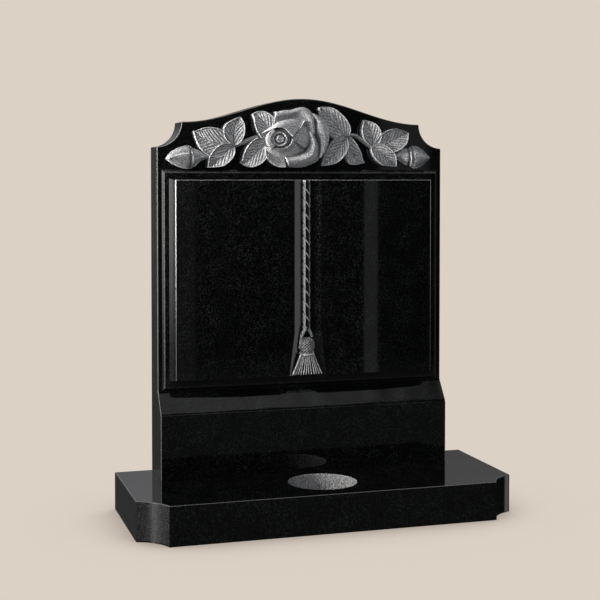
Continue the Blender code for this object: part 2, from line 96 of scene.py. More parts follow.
GUTTER_HALF = 29 * MM
GUTTER_FLOOR_HALF = 8 * MM
GUTTER_FLOOR = 20 * MM
GUTTER_SPREAD = 11 * MM
TASSEL_LOW = PAGE_LOW + 1.5 * MM
TASSEL_RING = TASSEL_LOW + 42.5 * MM
TASSEL_TOP = TASSEL_LOW + 84 * MM
HEAD_TOP = TASSEL_RING + 33 * MM
HEART_X = -57 * MM
HEART_Z = COVER_TOP + 65 * MM
print("border at y", round(BORDER / MM, 1))
print("pages from", round(PAGE_LOW / MM, 1), "to", round(PAGE_TOP / MM, 1))

# %% [markdown]
# ## A small kit for surfaces
# Nearly every piece here is a grid: rows and columns of points given by a formula in two
# parameters. `Shape` collects such grids with their faces, welds them where they meet and turns
# them into one closed mesh. No loop visits single points, as numpy makes the whole array at once.
# The carving is one stone with the slab, and is kept as its own meshes only because it has
# another finish: each piece stands for the stone that it belongs to.

# %% Grids into meshes
WELD = 2e-6
SLIVER = 1e-7


class Shape:
    """Grids and caps that together make one closed surface, or several closed ones."""

    def __init__(self):
        self.points = []
        self.faces = []
        self.finishes = []
        self.pale_and_painted_shade = []
        self.count = 0

    def grid(self, points, around=False, finish=0, pale_and_painted_shade=1.0):
        """Adds a (rows, columns, 3) grid of quads. With around, the last column joins the first.
        pale_and_painted_shade gives each point's tone: 1 where the tooled stone is bruised pale, down to 0
        where shade is painted, as in a cut."""
        rows, columns = points.shape[:2]
        index = np.arange(rows * columns).reshape(rows, columns) + self.count
        self.points.append(points.reshape(-1, 3))
        self.pale_and_painted_shade.append(np.broadcast_to(pale_and_painted_shade, (rows, columns)).reshape(-1))
        self.count += rows * columns
        if around:
            index = np.hstack([index, index[:, :1]])
        quads = np.stack([index[:-1, :-1], index[:-1, 1:], index[1:, 1:], index[1:, :-1]], axis=-1)
        finish = np.broadcast_to(finish, quads.shape[:2])
        self.faces.extend(quads.reshape(-1, 4).tolist())
        self.finishes.extend(finish.reshape(-1).tolist())

    def cap(self, loop):
        """Adds one flat face over a loop of points."""
        self.faces.append(list(range(self.count, self.count + len(loop))))
        self.finishes.append(0)
        self.points.append(loop)
        self.pale_and_painted_shade.append(np.ones(len(loop)))
        self.count += len(loop)

    def build(self, name, finishes, sharp, stone="tablet"):
        """Welds what meets, turns the faces outwards and makes the object that stands for a stone.
        Edges that turn by more than sharp degrees stay crisp."""
        mesh = bpy.data.meshes.new(name)
        mesh.from_pydata(np.concatenate(self.points), [], self.faces)
        mesh.polygons.foreach_set("material_index", np.array(self.finishes, dtype=np.int32))
        pale_and_painted_shade = mesh.attributes.new("pale_and_painted_shade", "FLOAT", "POINT")
        pale_and_painted_shade.data.foreach_set("value", np.concatenate(self.pale_and_painted_shade).astype(np.float32))
        work = bmesh.new()
        work.from_mesh(mesh)
        bmesh.ops.remove_doubles(work, verts=work.verts, dist=WELD)
        bmesh.ops.dissolve_degenerate(work, edges=work.edges, dist=SLIVER)
        bmesh.ops.recalc_face_normals(work, faces=work.faces)
        loose = sum(not edge.is_manifold for edge in work.edges)
        work.to_mesh(mesh)
        work.free()
        mesh.shade_smooth()
        mesh.set_sharp_from_angle(angle=math.radians(sharp))
        made = bpy.data.objects.new(name, mesh)
        bpy.context.scene.collection.objects.link(made)
        for finish in finishes:
            mesh.materials.append(finish)
        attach(made, "root")
        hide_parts(stone)
        triangles = sum(len(face.vertices) - 2 for face in mesh.polygons)
        print(name, triangles, "triangles, open edges:", loose)


# %% [markdown]
# Outlines are drawn through a few places. A leaf's edge is one cubic through four places, and
# longer edges run through as many as they need. Both are formulas of a share from 0 to 1.

# %% Curves through places
def through_four(places, shares):
    """The cubic that passes four places at shares 0, 1/3, 2/3 and 1."""
    p = np.array(places, float)
    s = np.asarray(shares)[:, None]
    first = (-5 * p[0] + 18 * p[1] - 9 * p[2] + 2 * p[3]) / 6
    second = (2 * p[0] - 9 * p[1] + 18 * p[2] - 5 * p[3]) / 6
    return (1 - s) ** 3 * p[0] + 3 * s * (1 - s) ** 2 * first + 3 * s**2 * (1 - s) * second + s**3 * p[3]


def through(places, count):
    """A smooth line of count points through places: cubic pieces whose slope at each place is that
    of the chord between its neighbours, spread evenly by chord length."""
    p = np.array(places, float)
    knots = np.concatenate([[0], np.cumsum(np.linalg.norm(np.diff(p, axis=0), axis=1))])
    slopes = np.gradient(p, knots, axis=0)
    at = np.linspace(0, knots[-1], count)
    i = np.clip(np.searchsorted(knots, at, side="right") - 1, 0, len(p) - 2)
    span = knots[i + 1] - knots[i]
    u = ((at - knots[i]) / span)[:, None]
    span = span[:, None]
    return ((2 * u**3 - 3 * u**2 + 1) * p[i] + (u**3 - 2 * u**2 + u) * span * slopes[i]
            + (3 * u**2 - 2 * u**3) * p[i + 1] + (u**3 - u**2) * span * slopes[i + 1])


def arc(centre, radius, start, end, count):
    """Count points along an arc, angles in degrees."""
    turn = np.radians(np.linspace(start, end, count))
    return np.stack([centre[0] + radius * np.cos(turn), centre[1] + radius * np.sin(turn)], axis=1)


def sideways(line, closed=False):
    """Unit vectors square to a flat line, to the left of its run."""
    if closed:
        run = np.roll(line, -1, axis=0) - np.roll(line, 1, axis=0)
    else:
        run = np.gradient(line, axis=0)
    run = run / np.maximum(np.linalg.norm(run, axis=1, keepdims=True), 1e-12)
    return np.stack([-run[:, 1], run[:, 0]], axis=1)


def smooth(value, low, high):
    """0 below low, 1 above high, and an S-curve between. It runs downwards if low is the larger."""
    share = np.clip((value - low) / (high - low), 0, 1)
    return share * share * (3 - 2 * share)


def rounded(values, reach):
    """Each value becomes the mean of those up to reach steps away, and the ends repeat."""
    window = np.full(2 * reach + 1, 1 / (2 * reach + 1))
    return np.convolve(np.pad(values, reach, mode="edge"), window, mode="valid")


# %% [markdown]
# ## Finishes
# All of the stone is one black granite. Polished, it is nearly a mirror, with tiny paler grains.
# Cut with a chisel or sandblasted, the same stone turns light grey and dull. Shader maths is
# written as plain expressions: a small class wraps a socket, and each sum adds a Math node.

# %% Shader maths
class Wire:
    """A number that comes out of a node. Sums with it add Math nodes."""

    def __init__(self, tree, socket):
        self.tree = tree
        self.socket = socket

    def maths(self, operation, *values):
        made = self.tree.nodes.new("ShaderNodeMath")
        made.operation = operation
        for slot, value in zip(made.inputs, values):
            connect(self.tree, slot, value)
        return Wire(self.tree, made.outputs[0])

    def __add__(self, other):
        return self.maths("ADD", self, other)

    def __sub__(self, other):
        return self.maths("SUBTRACT", self, other)

    def __rsub__(self, other):
        return self.maths("SUBTRACT", other, self)

    def __mul__(self, other):
        return self.maths("MULTIPLY", self, other)

    __radd__ = __add__
    __rmul__ = __mul__


def connect(tree, slot, value):
    """Puts a value or a link on a socket."""
    if isinstance(value, Wire):
        tree.links.new(value.socket, slot)
    else:
        slot.default_value = value


def node(tree, kind, settings, sockets, out=0):
    """Adds a node, its settings first and then its sockets. Returns one of its outputs."""
    made = tree.nodes.new(kind)
    for name, value in settings.items():
        setattr(made, name, value)
    for name, value in sockets.items():
        connect(tree, made.inputs[name], value)
    return Wire(tree, made.outputs[out]) if made.outputs else None


def soft_step(tree, value, low, high):
    """A node for 0 below low, 1 above high and an S-curve between. It may run downwards."""
    turned = low > high
    if turned:
        low, high = high, low
    made = node(tree, "ShaderNodeMapRange", {"interpolation_type": "SMOOTHSTEP"},
                {"Value": value, "From Min": low, "From Max": high})
    return 1 - made if turned else made


GRANITE_IOR = 1.52


def new_finish(name, roughness):
    """A new material with its shader and its Object coordinates."""
    made = bpy.data.materials.new(name)
    made.use_nodes = True
    tree = made.node_tree
    shader = tree.nodes["Principled BSDF"]
    shader.inputs["Roughness"].default_value = roughness
    shader.inputs["IOR"].default_value = GRANITE_IOR
    place = node(tree, "ShaderNodeTexCoord", {}, {}, out="Object")
    return made, tree, shader, place


def noise(tree, place, scale, detail, rough):
    """Grains about 1 / scale metres wide."""
    sockets = {"Vector": place, "Scale": scale, "Detail": detail, "Roughness": rough}
    return node(tree, "ShaderNodeTexNoise", {}, sockets)


def mixed(tree, share, first, other):
    """A colour between two colours. A Mix node keeps its colour sockets behind those for numbers
    and vectors."""
    made = tree.nodes.new("ShaderNodeMix")
    made.data_type = "RGBA"
    factor, low, high = (made.inputs[i] for i in (0, 6, 7))
    connect(tree, factor, share)
    connect(tree, low, first if isinstance(first, Wire) else (*first, 1))
    connect(tree, high, other if isinstance(other, Wire) else (*other, 1))
    return Wire(tree, made.outputs[2])


BUMP_DEPTH = 0.6 * MM


def bump(tree, shader, height, strength):
    """Roughens the shading by a height between 0 and 1, without moving any point."""
    sockets = {"Height": height, "Strength": strength, "Distance": BUMP_DEPTH}
    connect(tree, shader.inputs["Normal"], node(tree, "ShaderNodeBump", {}, sockets))


def paint(tree, shader, colour):
    """Gives the stone its colour."""
    connect(tree, shader.inputs["Base Color"], colour)


# %% [markdown]
# Polished granite: the ground is almost black. Its grains are cut out of a fine noise by a soft
# threshold, and a coarse noise gathers them in clouds. Their colour is a dull grey green, as
# feldspar and mica give it.

# %% Polished granite
def polished_granite():
    made, tree, shader, place = new_finish("polished_granite", 0.035)
    grains = soft_step(tree, noise(tree, place, 430.0, 1.0, 0.6), 0.53, 0.63)
    clouds = soft_step(tree, noise(tree, place, 22.0, 3.0, 0.6), 0.30, 0.72)
    share = grains * (0.35 + 0.65 * clouds)
    paint(tree, shader, mixed(tree, share, (0.0009, 0.0010, 0.0010), (0.0150, 0.0172, 0.0157)))
    connect(tree, shader.inputs["Roughness"], 0.03 + 0.035 * grains)
    return made


# %% [markdown]
# The arris is only honed, so it scatters a little light. The page's arris is painted paler
# towards its top, as painted light. A scoop and the cover's sloping edge are ground with a round
# stone and stay a little dull.

# %% Honed and dulled granite, and an arris with painted light
def honed_granite():
    """The arris of the slab and of the base."""
    made, tree, shader, place = new_finish("honed_granite", 0.25)
    grains = noise(tree, place, 500.0, 2.0, 0.6)
    paint(tree, shader, mixed(tree, grains, (0.055, 0.055, 0.057), (0.120, 0.120, 0.122)))
    return made


def arris_painted_light():
    """The page's narrow arris, painted paler towards its top as painted light."""
    made, tree, shader, place = new_finish("arris_painted_light", 0.30)
    height = node(tree, "ShaderNodeSeparateXYZ", {}, {"Vector": place}, out="Z")
    # painted light: the colour grows paler with height, where more light falls
    share = soft_step(tree, height, 0.34, 0.62)
    paint(tree, shader, mixed(tree, share, (0.045, 0.045, 0.046), (0.42, 0.42, 0.425)))
    return made


def dulled_granite():
    """The base's left scoop and the cover's sloping edge."""
    made, tree, shader, place = new_finish("dulled_granite", 0.26)
    grains = soft_step(tree, noise(tree, place, 430.0, 1.0, 0.6), 0.45, 0.65)
    paint(tree, shader, mixed(tree, grains, (0.016, 0.016, 0.017), (0.050, 0.050, 0.052)))
    return made


# %% [markdown]
# The carving is left as the point and the sandblast leave it. Its grains are bruised pale, and a
# few sparkle. Shade is painted into its colour: each surface writes down its share of pale stone,
# and where that share falls, in cuts, crevices, at the foot of walls and on faces that take too much
# light, the colour goes nearly black. One way to shade cuts is ambient occlusion; painted shade
# stays with the shape.

# %% Frosted, twisted and drilled granite
def read_pale_and_painted_shade(tree):
    """The share of each point that the shapes wrote down: 1 where the stone is bruised pale, less where
    shade is painted.
    """
    return node(tree, "ShaderNodeAttribute", {"attribute_name": "pale_and_painted_shade"}, {}, out="Fac")


def frosted_granite():
    """The rose, leaves, buds and tassel, blasted to a dull grey, with shade painted nearly black where their
    pale share falls.
    """
    made, tree, shader, place = new_finish("frosted_granite", 0.62)
    grain = noise(tree, place, 380.0, 2.0, 0.65)
    fine = noise(tree, place, 1500.0, 1.0, 0.5)
    share = soft_step(tree, 0.75 * grain + 0.25 * fine, 0.38, 0.62)
    ground = mixed(tree, share, (0.135, 0.137, 0.143), (0.46, 0.462, 0.472))
    sparks = soft_step(tree, noise(tree, place, 520.0, 0.0, 0.5), 0.68, 0.76)
    light = mixed(tree, sparks, ground, (0.66, 0.655, 0.64))
    # painted shade: where the pale share falls, the colour goes towards this near black
    paint(tree, shader, mixed(tree, read_pale_and_painted_shade(tree), (0.022, 0.023, 0.025), light))
    shader.inputs["Specular IOR Level"].default_value = 0.3
    bump(tree, shader, 0.5 * grain + 0.5 * fine, 0.45)
    return made


def cord_granite():
    """Polished on the crests and frosted in the cuts."""
    made, tree, shader, place = new_finish("cord_granite", 0.05)
    pale_and_painted_shade = read_pale_and_painted_shade(tree)
    grain = soft_step(tree, noise(tree, place, 520.0, 2.0, 0.65), 0.34, 0.66)
    light = mixed(tree, grain, (0.30, 0.30, 0.305), (0.62, 0.61, 0.60))
    paint(tree, shader, mixed(tree, pale_and_painted_shade, (0.006, 0.006, 0.006), light))
    connect(tree, shader.inputs["Roughness"], 0.06 + 0.55 * pale_and_painted_shade)
    return made


def drilled_granite():
    """The wall of the hole, as the core drill leaves it."""
    made, tree, shader, place = new_finish("drilled_granite", 0.75)
    grain = noise(tree, place, 400.0, 2.0, 0.65)
    share = soft_step(tree, grain, 0.38, 0.64)
    paint(tree, shader, mixed(tree, share, (0.075, 0.075, 0.078), (0.31, 0.31, 0.312)))
    shader.inputs["Specular IOR Level"].default_value = 0.2
    bump(tree, shader, grain, 0.5)
    return made


polished = polished_granite()
honed = honed_granite()
frosted = frosted_granite()
twisted = cord_granite()
drilled = drilled_granite()
dulled = dulled_granite()
painted_light_arris = arris_painted_light()
print("finishes:", *(made.name for made in (polished, honed, painted_light_arris, dulled, frosted, twisted, drilled)))


# %% [markdown]
# ## The tablet's body
# The slab is sawn and polished, and its edges get a narrow arris that takes off the sharpness.
# One way would be to bevel the solid, but its curves are coarse. So the whole outline is a line,
# from the foot up the left side, round the scooped shoulder and over the ogee to the crown. At
# each point of the line a ring runs across the front, round the right side and back. The rings
# make one closed skin, as the two halves of the stone mirror each other.

# %% Outline and front of the tablet
ARRIS = 1.6 * MM
SUPPORT = 0.5 * MM
CORNER = 2.0 * MM
FLARE_STRAIGHT = 0.85
FLARE_WAVE = 0.34 * MM
FOOT_EASE = 0.9 * MM
FRONT_COLUMNS = 120
ARRIS_COLUMNS = (1, 2, 3, 7, 8, 9)


def left_outline():
    """The left half of the front outline, upwards to the crown, as (x, z)."""
    reach = TABLET_HALF - SHOULDER_SCOOP
    hollow = SHOULDER_Z - SHOULDER_SCOOP
    flare = FOOT_Z + (FLARE_Z - FOOT_Z) * np.linspace(0, 1, 33)
    below = TABLET_BED + np.array([0.0, 0.4, 1.0, 1.6]) * MM
    foot = np.linspace(below[-1] + 2 * MM, FOOT_Z - 2.6 * MM, 10)
    edge = FOOT_Z - np.array([2.0, 1.5, 1.2, 0.9, 0.6, 0.4, 0.2, 0.1]) * MM
    side = np.linspace(FLARE_Z + 2 * MM, hollow - CORNER, 40)
    heights = np.concatenate([below, foot, edge, flare, side])
    straight = np.stack([np.full(len(heights), -TABLET_HALF), heights], axis=1)
    low_corner = arc((-TABLET_HALF + CORNER, hollow - CORNER), CORNER, 180, 90, 7)[1:]
    turn = math.degrees(math.asin(CORNER / SHOULDER_SCOOP))
    scoop = arc((-TABLET_HALF, SHOULDER_Z), SHOULDER_SCOOP, -90 + turn, -turn, 36)
    high_corner = arc((-reach + CORNER, SHOULDER_Z - CORNER), CORNER, 180, 90, 7)
    x = np.linspace(-reach + CORNER, 0, 100)[1:]
    ogee = np.stack([x, SHOULDER_Z + CROWN_RISE * (1 + np.cos(math.pi * x / reach)) / 2], axis=1)
    return np.concatenate([straight, low_corner, scoop, high_corner, ogee])


def front_depth(x, z):
    """How deep the front face lies: the foot, then the flare, straight up to FLARE_STRAIGHT and
    then rounded, with the small waves of hand polishing, then the border."""
    rise = np.clip((z - FOOT_Z) / (FLARE_Z - FOOT_Z), 0, 1)
    rounding = np.clip(rise - FLARE_STRAIGHT, 0, 1) ** 2 / (2 * (1 - FLARE_STRAIGHT))
    depth = FOOT_Y + (BORDER - FOOT_Y) * (rise - rounding) * 2 / (1 + FLARE_STRAIGHT)
    wave = np.sin(23 * x + 0.4) + 0.7 * np.sin(61 * x + 2.1) + 0.45 * np.sin(104 * x + 1.0)
    depth = depth + FLARE_WAVE * wave * np.sin(math.pi * rise)
    under = np.clip((z - (FOOT_Z - 1.6 * MM)) / (1.6 * MM), 0, 1)
    return depth + np.where(z < FOOT_Z, FOOT_EASE * under**2, FOOT_EASE * (1 - rise) ** 24)


def tablet_body():
    """The polished slab: rings round the stone at every point of its outline."""
    line = left_outline()
    outward = sideways(line)
    outward[0] = (-1, 0)
    outward[-1] = (0, 1)
    turn = np.radians(np.linspace(0, 90, 4))
    inset = np.concatenate([[ARRIS + SUPPORT], ARRIS * (1 - np.sin(turn)), [0.0]])
    depth = np.concatenate([[0.0], ARRIS * (1 - np.cos(turn)), [ARRIS + SUPPORT]])
    edge = line[:, None, :] - outward[:, None, :] * inset[None, :, None]
    edge[..., 0] = np.minimum(edge[..., 0], 0)
    front = front_depth(edge[:, 0, 0], line[:, 1])[:, None] + depth[None, :]
    half = np.stack([edge[..., 0], front, edge[..., 1]], axis=-1)
    rear = half[:, ::-1].copy()
    rear[..., 1] = BACK_Y - depth[::-1][None, :]
    left = np.concatenate([half, rear], axis=1)
    right = left[:, ::-1] * np.array([-1, 1, 1])
    share = np.linspace(0, 1, FRONT_COLUMNS + 1)[1:-1]
    inner = half[:, 0]
    x = inner[:, 0][:, None] * (1 - 2 * share[None, :])
    z = np.broadcast_to(inner[:, 2][:, None], x.shape)
    level = np.broadcast_to(line[:, 1][:, None], x.shape)
    across = np.stack([x, front_depth(x, level), z], axis=-1)
    ring = np.concatenate([left, right, across[:, ::-1]], axis=1)
    finish = np.zeros((len(line) - 1, ring.shape[1]), dtype=int)
    columns = np.arange(ring.shape[1])
    per_side = left.shape[1]
    arris = np.isin(columns % per_side, ARRIS_COLUMNS) & (columns < 2 * per_side)
    finish[:, arris] = 1
    shape = Shape()
    shape.grid(ring, around=True, finish=finish)
    shape.cap(ring[0])
    return shape


tablet_body().build("tablet_body", [polished, honed], sharp=35)


# %% [markdown]
# ## The open book
# The cover is a plate with moulded sides, and the pages are a block on it. Both are a front grid
# with a moulded wall around. A wall is a profile of steps out from the edge and back in depth,
# carried round the four sides, so that the corners come out mitred.

# %% Moulded blocks
COVER_WALL = ((0.0, 5.5), (0.2, 5.4), (0.5, 5.1), (1.3, 4.0), (2.2, 2.6), (3.3, 1.2), (4.5, 0.0),
              (4.5, -6.0))
PAGE_WALL = ((0.0, 0.0), (0.3, 0.08), (0.7, 0.35), (1.1, 0.75), (1.4, 1.2), (1.6, 1.6),
             (2.8, 3.6), (4.1, 5.7), (4.4, 6.4), (4.7, 7.4), (7.0, 13.4), (9.2, 19.0),
             (9.5, 19.6), (10.0, 20.0), (10.0, 26.0))
PAGE_WALL_DEPTH = 20 * MM
COVER_TOP_SHARE = 1.5
EDGE_STEPS = 4


def around_edge(grid, outward):
    """The rim of a grid as one loop, and at each of its points which way is out in x and in z.
    A corner goes out both ways, so it is there once."""
    low = grid[0]
    right = grid[1:, -1]
    top = grid[-1, -2::-1]
    left = grid[-2:0:-1, 0]
    way = [np.tile((0, -1), (len(low), 1)), np.tile((1, 0), (len(right), 1)),
           np.tile((0, 1), (len(top), 1)), np.tile((-1, 0), (len(left), 1))]
    way = np.concatenate(way).astype(float)
    way[0] = (-1, -1)
    way[len(low) - 1] = (1, -1)
    way[len(low) + len(right) - 1] = (1, 1)
    way[len(low) + len(right) + len(top) - 1] = (-1, 1)
    return np.concatenate([low, right, top, left]), way * outward


def moulded(shape, grid, wall, slope_share, depth_of, edge_finish):
    """A front grid with a wall round it: each step (out, down) of the profile is one more ring.
    Above and below, the steps out are slope_share as long. The first steps have a finish of
    their own."""
    loop, way = around_edge(grid, np.array([1.0, slope_share]))
    steps = np.array(wall) * MM
    rings = np.stack([loop + np.stack([way[:, 0] * out, depth_of(loop, down), way[:, 1] * out], axis=1)
                      for out, down in steps])
    shape.grid(grid)
    finishes = np.zeros((len(steps) - 1, len(loop)), dtype=int)
    finishes[:EDGE_STEPS] = edge_finish
    shape.grid(rings, around=True, finish=finishes)
    shape.cap(rings[-1])


def page_proud(x):
    """How far a page stands out of the border: a crown that falls to its outer edge and, a little,
    to the gutter."""
    x = np.abs(x)
    outer = (PAGE_CREST - PAGE_EDGE) * (np.clip(x - CREST_X, 0, None) / (PAGE_HALF - CREST_X)) ** 2
    inner = 1.5 * MM * (np.clip(CREST_X - x, 0, None) / CREST_X) ** 2
    return PAGE_CREST - outer - inner


def pages():
    """Both pages with the gutter between them, as one grid whose columns follow the gutter."""
    beside_tassel = np.linspace(PAGE_LOW, TASSEL_TOP, 24)
    rows = np.concatenate([beside_tassel, np.linspace(TASSEL_TOP, PAGE_TOP, 40)[1:]])
    spread = GUTTER_SPREAD * np.clip((TASSEL_TOP - rows) / (TASSEL_TOP - PAGE_LOW), 0, None)
    edge = (GUTTER_HALF + spread)[:, None]
    foot = (GUTTER_FLOOR_HALF + spread)[:, None]
    share = np.linspace(0, 1, 57)[None, :]
    page_x = -PAGE_HALF + (PAGE_HALF - edge) * np.sin(share * math.pi / 2) ** 1.2
    page_y = BORDER - page_proud(page_x)
    down = np.linspace(0, 1, 13)[None, 1:]
    wall_x = -edge + (edge - foot) * down
    wall_proud = page_proud(edge) + (GUTTER_FLOOR - page_proud(edge)) * down
    floor_x = -foot + 2 * foot * np.linspace(0, 1, 9)[None, 1:-1]
    floor_y = np.full(floor_x.shape, BORDER - GUTTER_FLOOR)
    bow = 0.3 * MM * np.sin(math.pi * down) * np.ones_like(wall_x)
    x = np.concatenate([page_x, wall_x, floor_x, -wall_x[:, ::-1], -page_x[:, ::-1]], axis=1)
    y = np.concatenate([page_y, BORDER - wall_proud, floor_y, (BORDER - wall_proud + bow)[:, ::-1],
                        page_y[:, ::-1]], axis=1)
    z = np.broadcast_to(rows[:, None], x.shape)
    return np.stack([x, y, z], axis=-1)


def book():
    """The cover plate and the pages on it."""
    shape = Shape()
    x = np.linspace(-1, 1, 41)[None, :] * (COVER_HALF - COVER_SLOPE)
    z = np.linspace(COVER_LOW + COVER_SLOPE, COVER_TOP - COVER_SLOPE, 31)[:, None]
    x, z = np.broadcast_arrays(x, z)
    plate = np.stack([x, np.full(x.shape, BORDER - COVER_PROUD), z], axis=-1)
    moulded(shape, plate, COVER_WALL, COVER_TOP_SHARE,
            lambda loop, proud: np.full(len(loop), COVER_PROUD - proud), edge_finish=1)
    moulded(shape, pages(), PAGE_WALL, TOP_SLOPE_SHARE,
            lambda loop, down: down / PAGE_WALL_DEPTH * (BORDER - COVER_PROUD - loop[:, 1]), edge_finish=2)
    return shape


book().build("open_book", [polished, dulled, painted_light_arris], sharp=28)


# %% [markdown]
# ## Cord and tassel
# The cord in the gutter is a round bar with two winding grooves. Two tubes wound round each other
# would do too, but a mason cuts grooves into one bar, and so does the formula. Its crests are
# polished and its flanks and grooves left frosted, which an attribute tells the finish.

# %% The twisted cord
CORD_RADIUS = 8 * MM
CORD_AXIS = BORDER - 19.5 * MM
CORD_LAY = 52 * MM
GROOVE_SHARE = 0.24
GROOVE_WIDTH = 0.30


def tube(shape, line, radius, sides=20):
    """A tube of changing radius along a line of points, closed at its ends."""
    run = np.gradient(line, axis=0)
    run = run / np.linalg.norm(run, axis=1, keepdims=True)
    side = np.cross(run, (0, 1, 0))
    side = side / np.linalg.norm(side, axis=1, keepdims=True)
    front = np.cross(side, run)
    turn = np.linspace(0, 2 * math.pi, sides, endpoint=False)[None, :, None]
    radius = np.broadcast_to(radius, len(line))[:, None, None]
    spoke = np.cos(turn) * side[:, None, :] + np.sin(turn) * front[:, None, :]
    skin = line[:, None, :] + radius * spoke
    shape.grid(skin, around=True)
    shape.cap(skin[0])
    shape.cap(skin[-1])


def cord():
    """A round bar with two grooves that wind round it. The groove is deepest where the cosine of
    v is 0, with v = bearing + height over lay, in turns."""
    z = np.linspace(TASSEL_TOP + 9 * MM, PAGE_TOP - 0.4 * MM, 520)[:, None]
    turn = np.linspace(0, 2 * math.pi, 72, endpoint=False)[None, :]
    v = turn + 2 * math.pi * z / CORD_LAY
    groove = np.exp(-((np.arcsin(np.abs(np.cos(v))) / GROOVE_WIDTH) ** 2))
    reach = CORD_RADIUS * (1 - GROOVE_SHARE * groove)
    x = reach * np.cos(turn)
    y = CORD_AXIS + reach * np.sin(turn)
    shape = Shape()
    bar = np.stack([x, y, np.broadcast_to(z, x.shape)], axis=-1)
    aside = np.degrees(turn) - 270
    crest = smooth(aside, -34, -24) * (1 - smooth(aside, 36, 46)) * smooth(np.abs(np.cos(v)), 0.12, 0.24)
    shape.grid(bar, around=True, pale_and_painted_shade=1 - crest)
    shape.cap(bar[0])
    shape.cap(bar[-1])
    return shape


cord().build("twisted_cord", [twisted], sharp=60)

# %% [markdown]
# The tassel is a netted dome, a ring that binds it, and a fringe of separate threads that spread
# to the page's foot. Its two cord ends part round an eye. It stands on the gutter's floor.

# %% The tassel
HEAD_HALF = 17.2 * MM
FRINGE_HALF = 36.2 * MM
TASSEL_PROUD = 31.3 * MM
TASSEL_FLOOR = BORDER - 22 * MM
THREADS = 12
HEAD_SAG = 4.5 * MM
NET_MESHES = 15
NET_RISE = 5.6 * MM
CUT_DEPTH = 1.1 * MM
HEAD_SWELL = ((0, 0.70), (0.1, 0.83), (0.22, 0.94), (0.38, 1.0), (0.6, 1.0), (0.78, 0.90), (0.9, 0.72),
              (0.97, 0.5), (1.0, 0.35))


def dome(shape, heights, halves, prouds, columns, pattern=None, pale_and_painted_shade=1.0, flat=1.0, sag=0.0):
    """A flattened half-round body standing on the gutter. A pattern from 0 to 1 sinks it by up to
    CUT_DEPTH and paints shade into its colour there. A small flat squares its section, and its middle hangs
    by sag."""
    turn = np.linspace(math.pi, 2 * math.pi, columns)[None, :]
    z = np.asarray(heights)[:, None] - np.reshape(sag, (-1, 1)) * np.abs(np.sin(turn))
    cut = pattern(turn, z) if pattern else 0 * turn * z
    x = (np.asarray(halves)[:, None] - 0.5 * MM * cut) * np.cos(turn)
    deep = TASSEL_FLOOR - (BORDER - np.asarray(prouds)[:, None]) - CUT_DEPTH * cut
    y = TASSEL_FLOOR - deep * np.abs(np.sin(turn)) ** flat
    skin = np.stack([x, y, np.broadcast_to(z, x.shape)], axis=-1)
    root = skin[:, [0, -1]].copy()
    root[..., 1] = BORDER - 12 * MM
    skin = np.concatenate([root[:, :1], skin, root[:, 1:]], axis=1)
    cut = np.pad(cut, ((0, 0), (1, 1)), mode="edge")
    # painted shade: the net's cuts are darkened in colour
    shape.grid(skin, around=True, pale_and_painted_shade=pale_and_painted_shade - 0.92 * cut)
    shape.cap(skin[0])
    shape.cap(skin[-1])


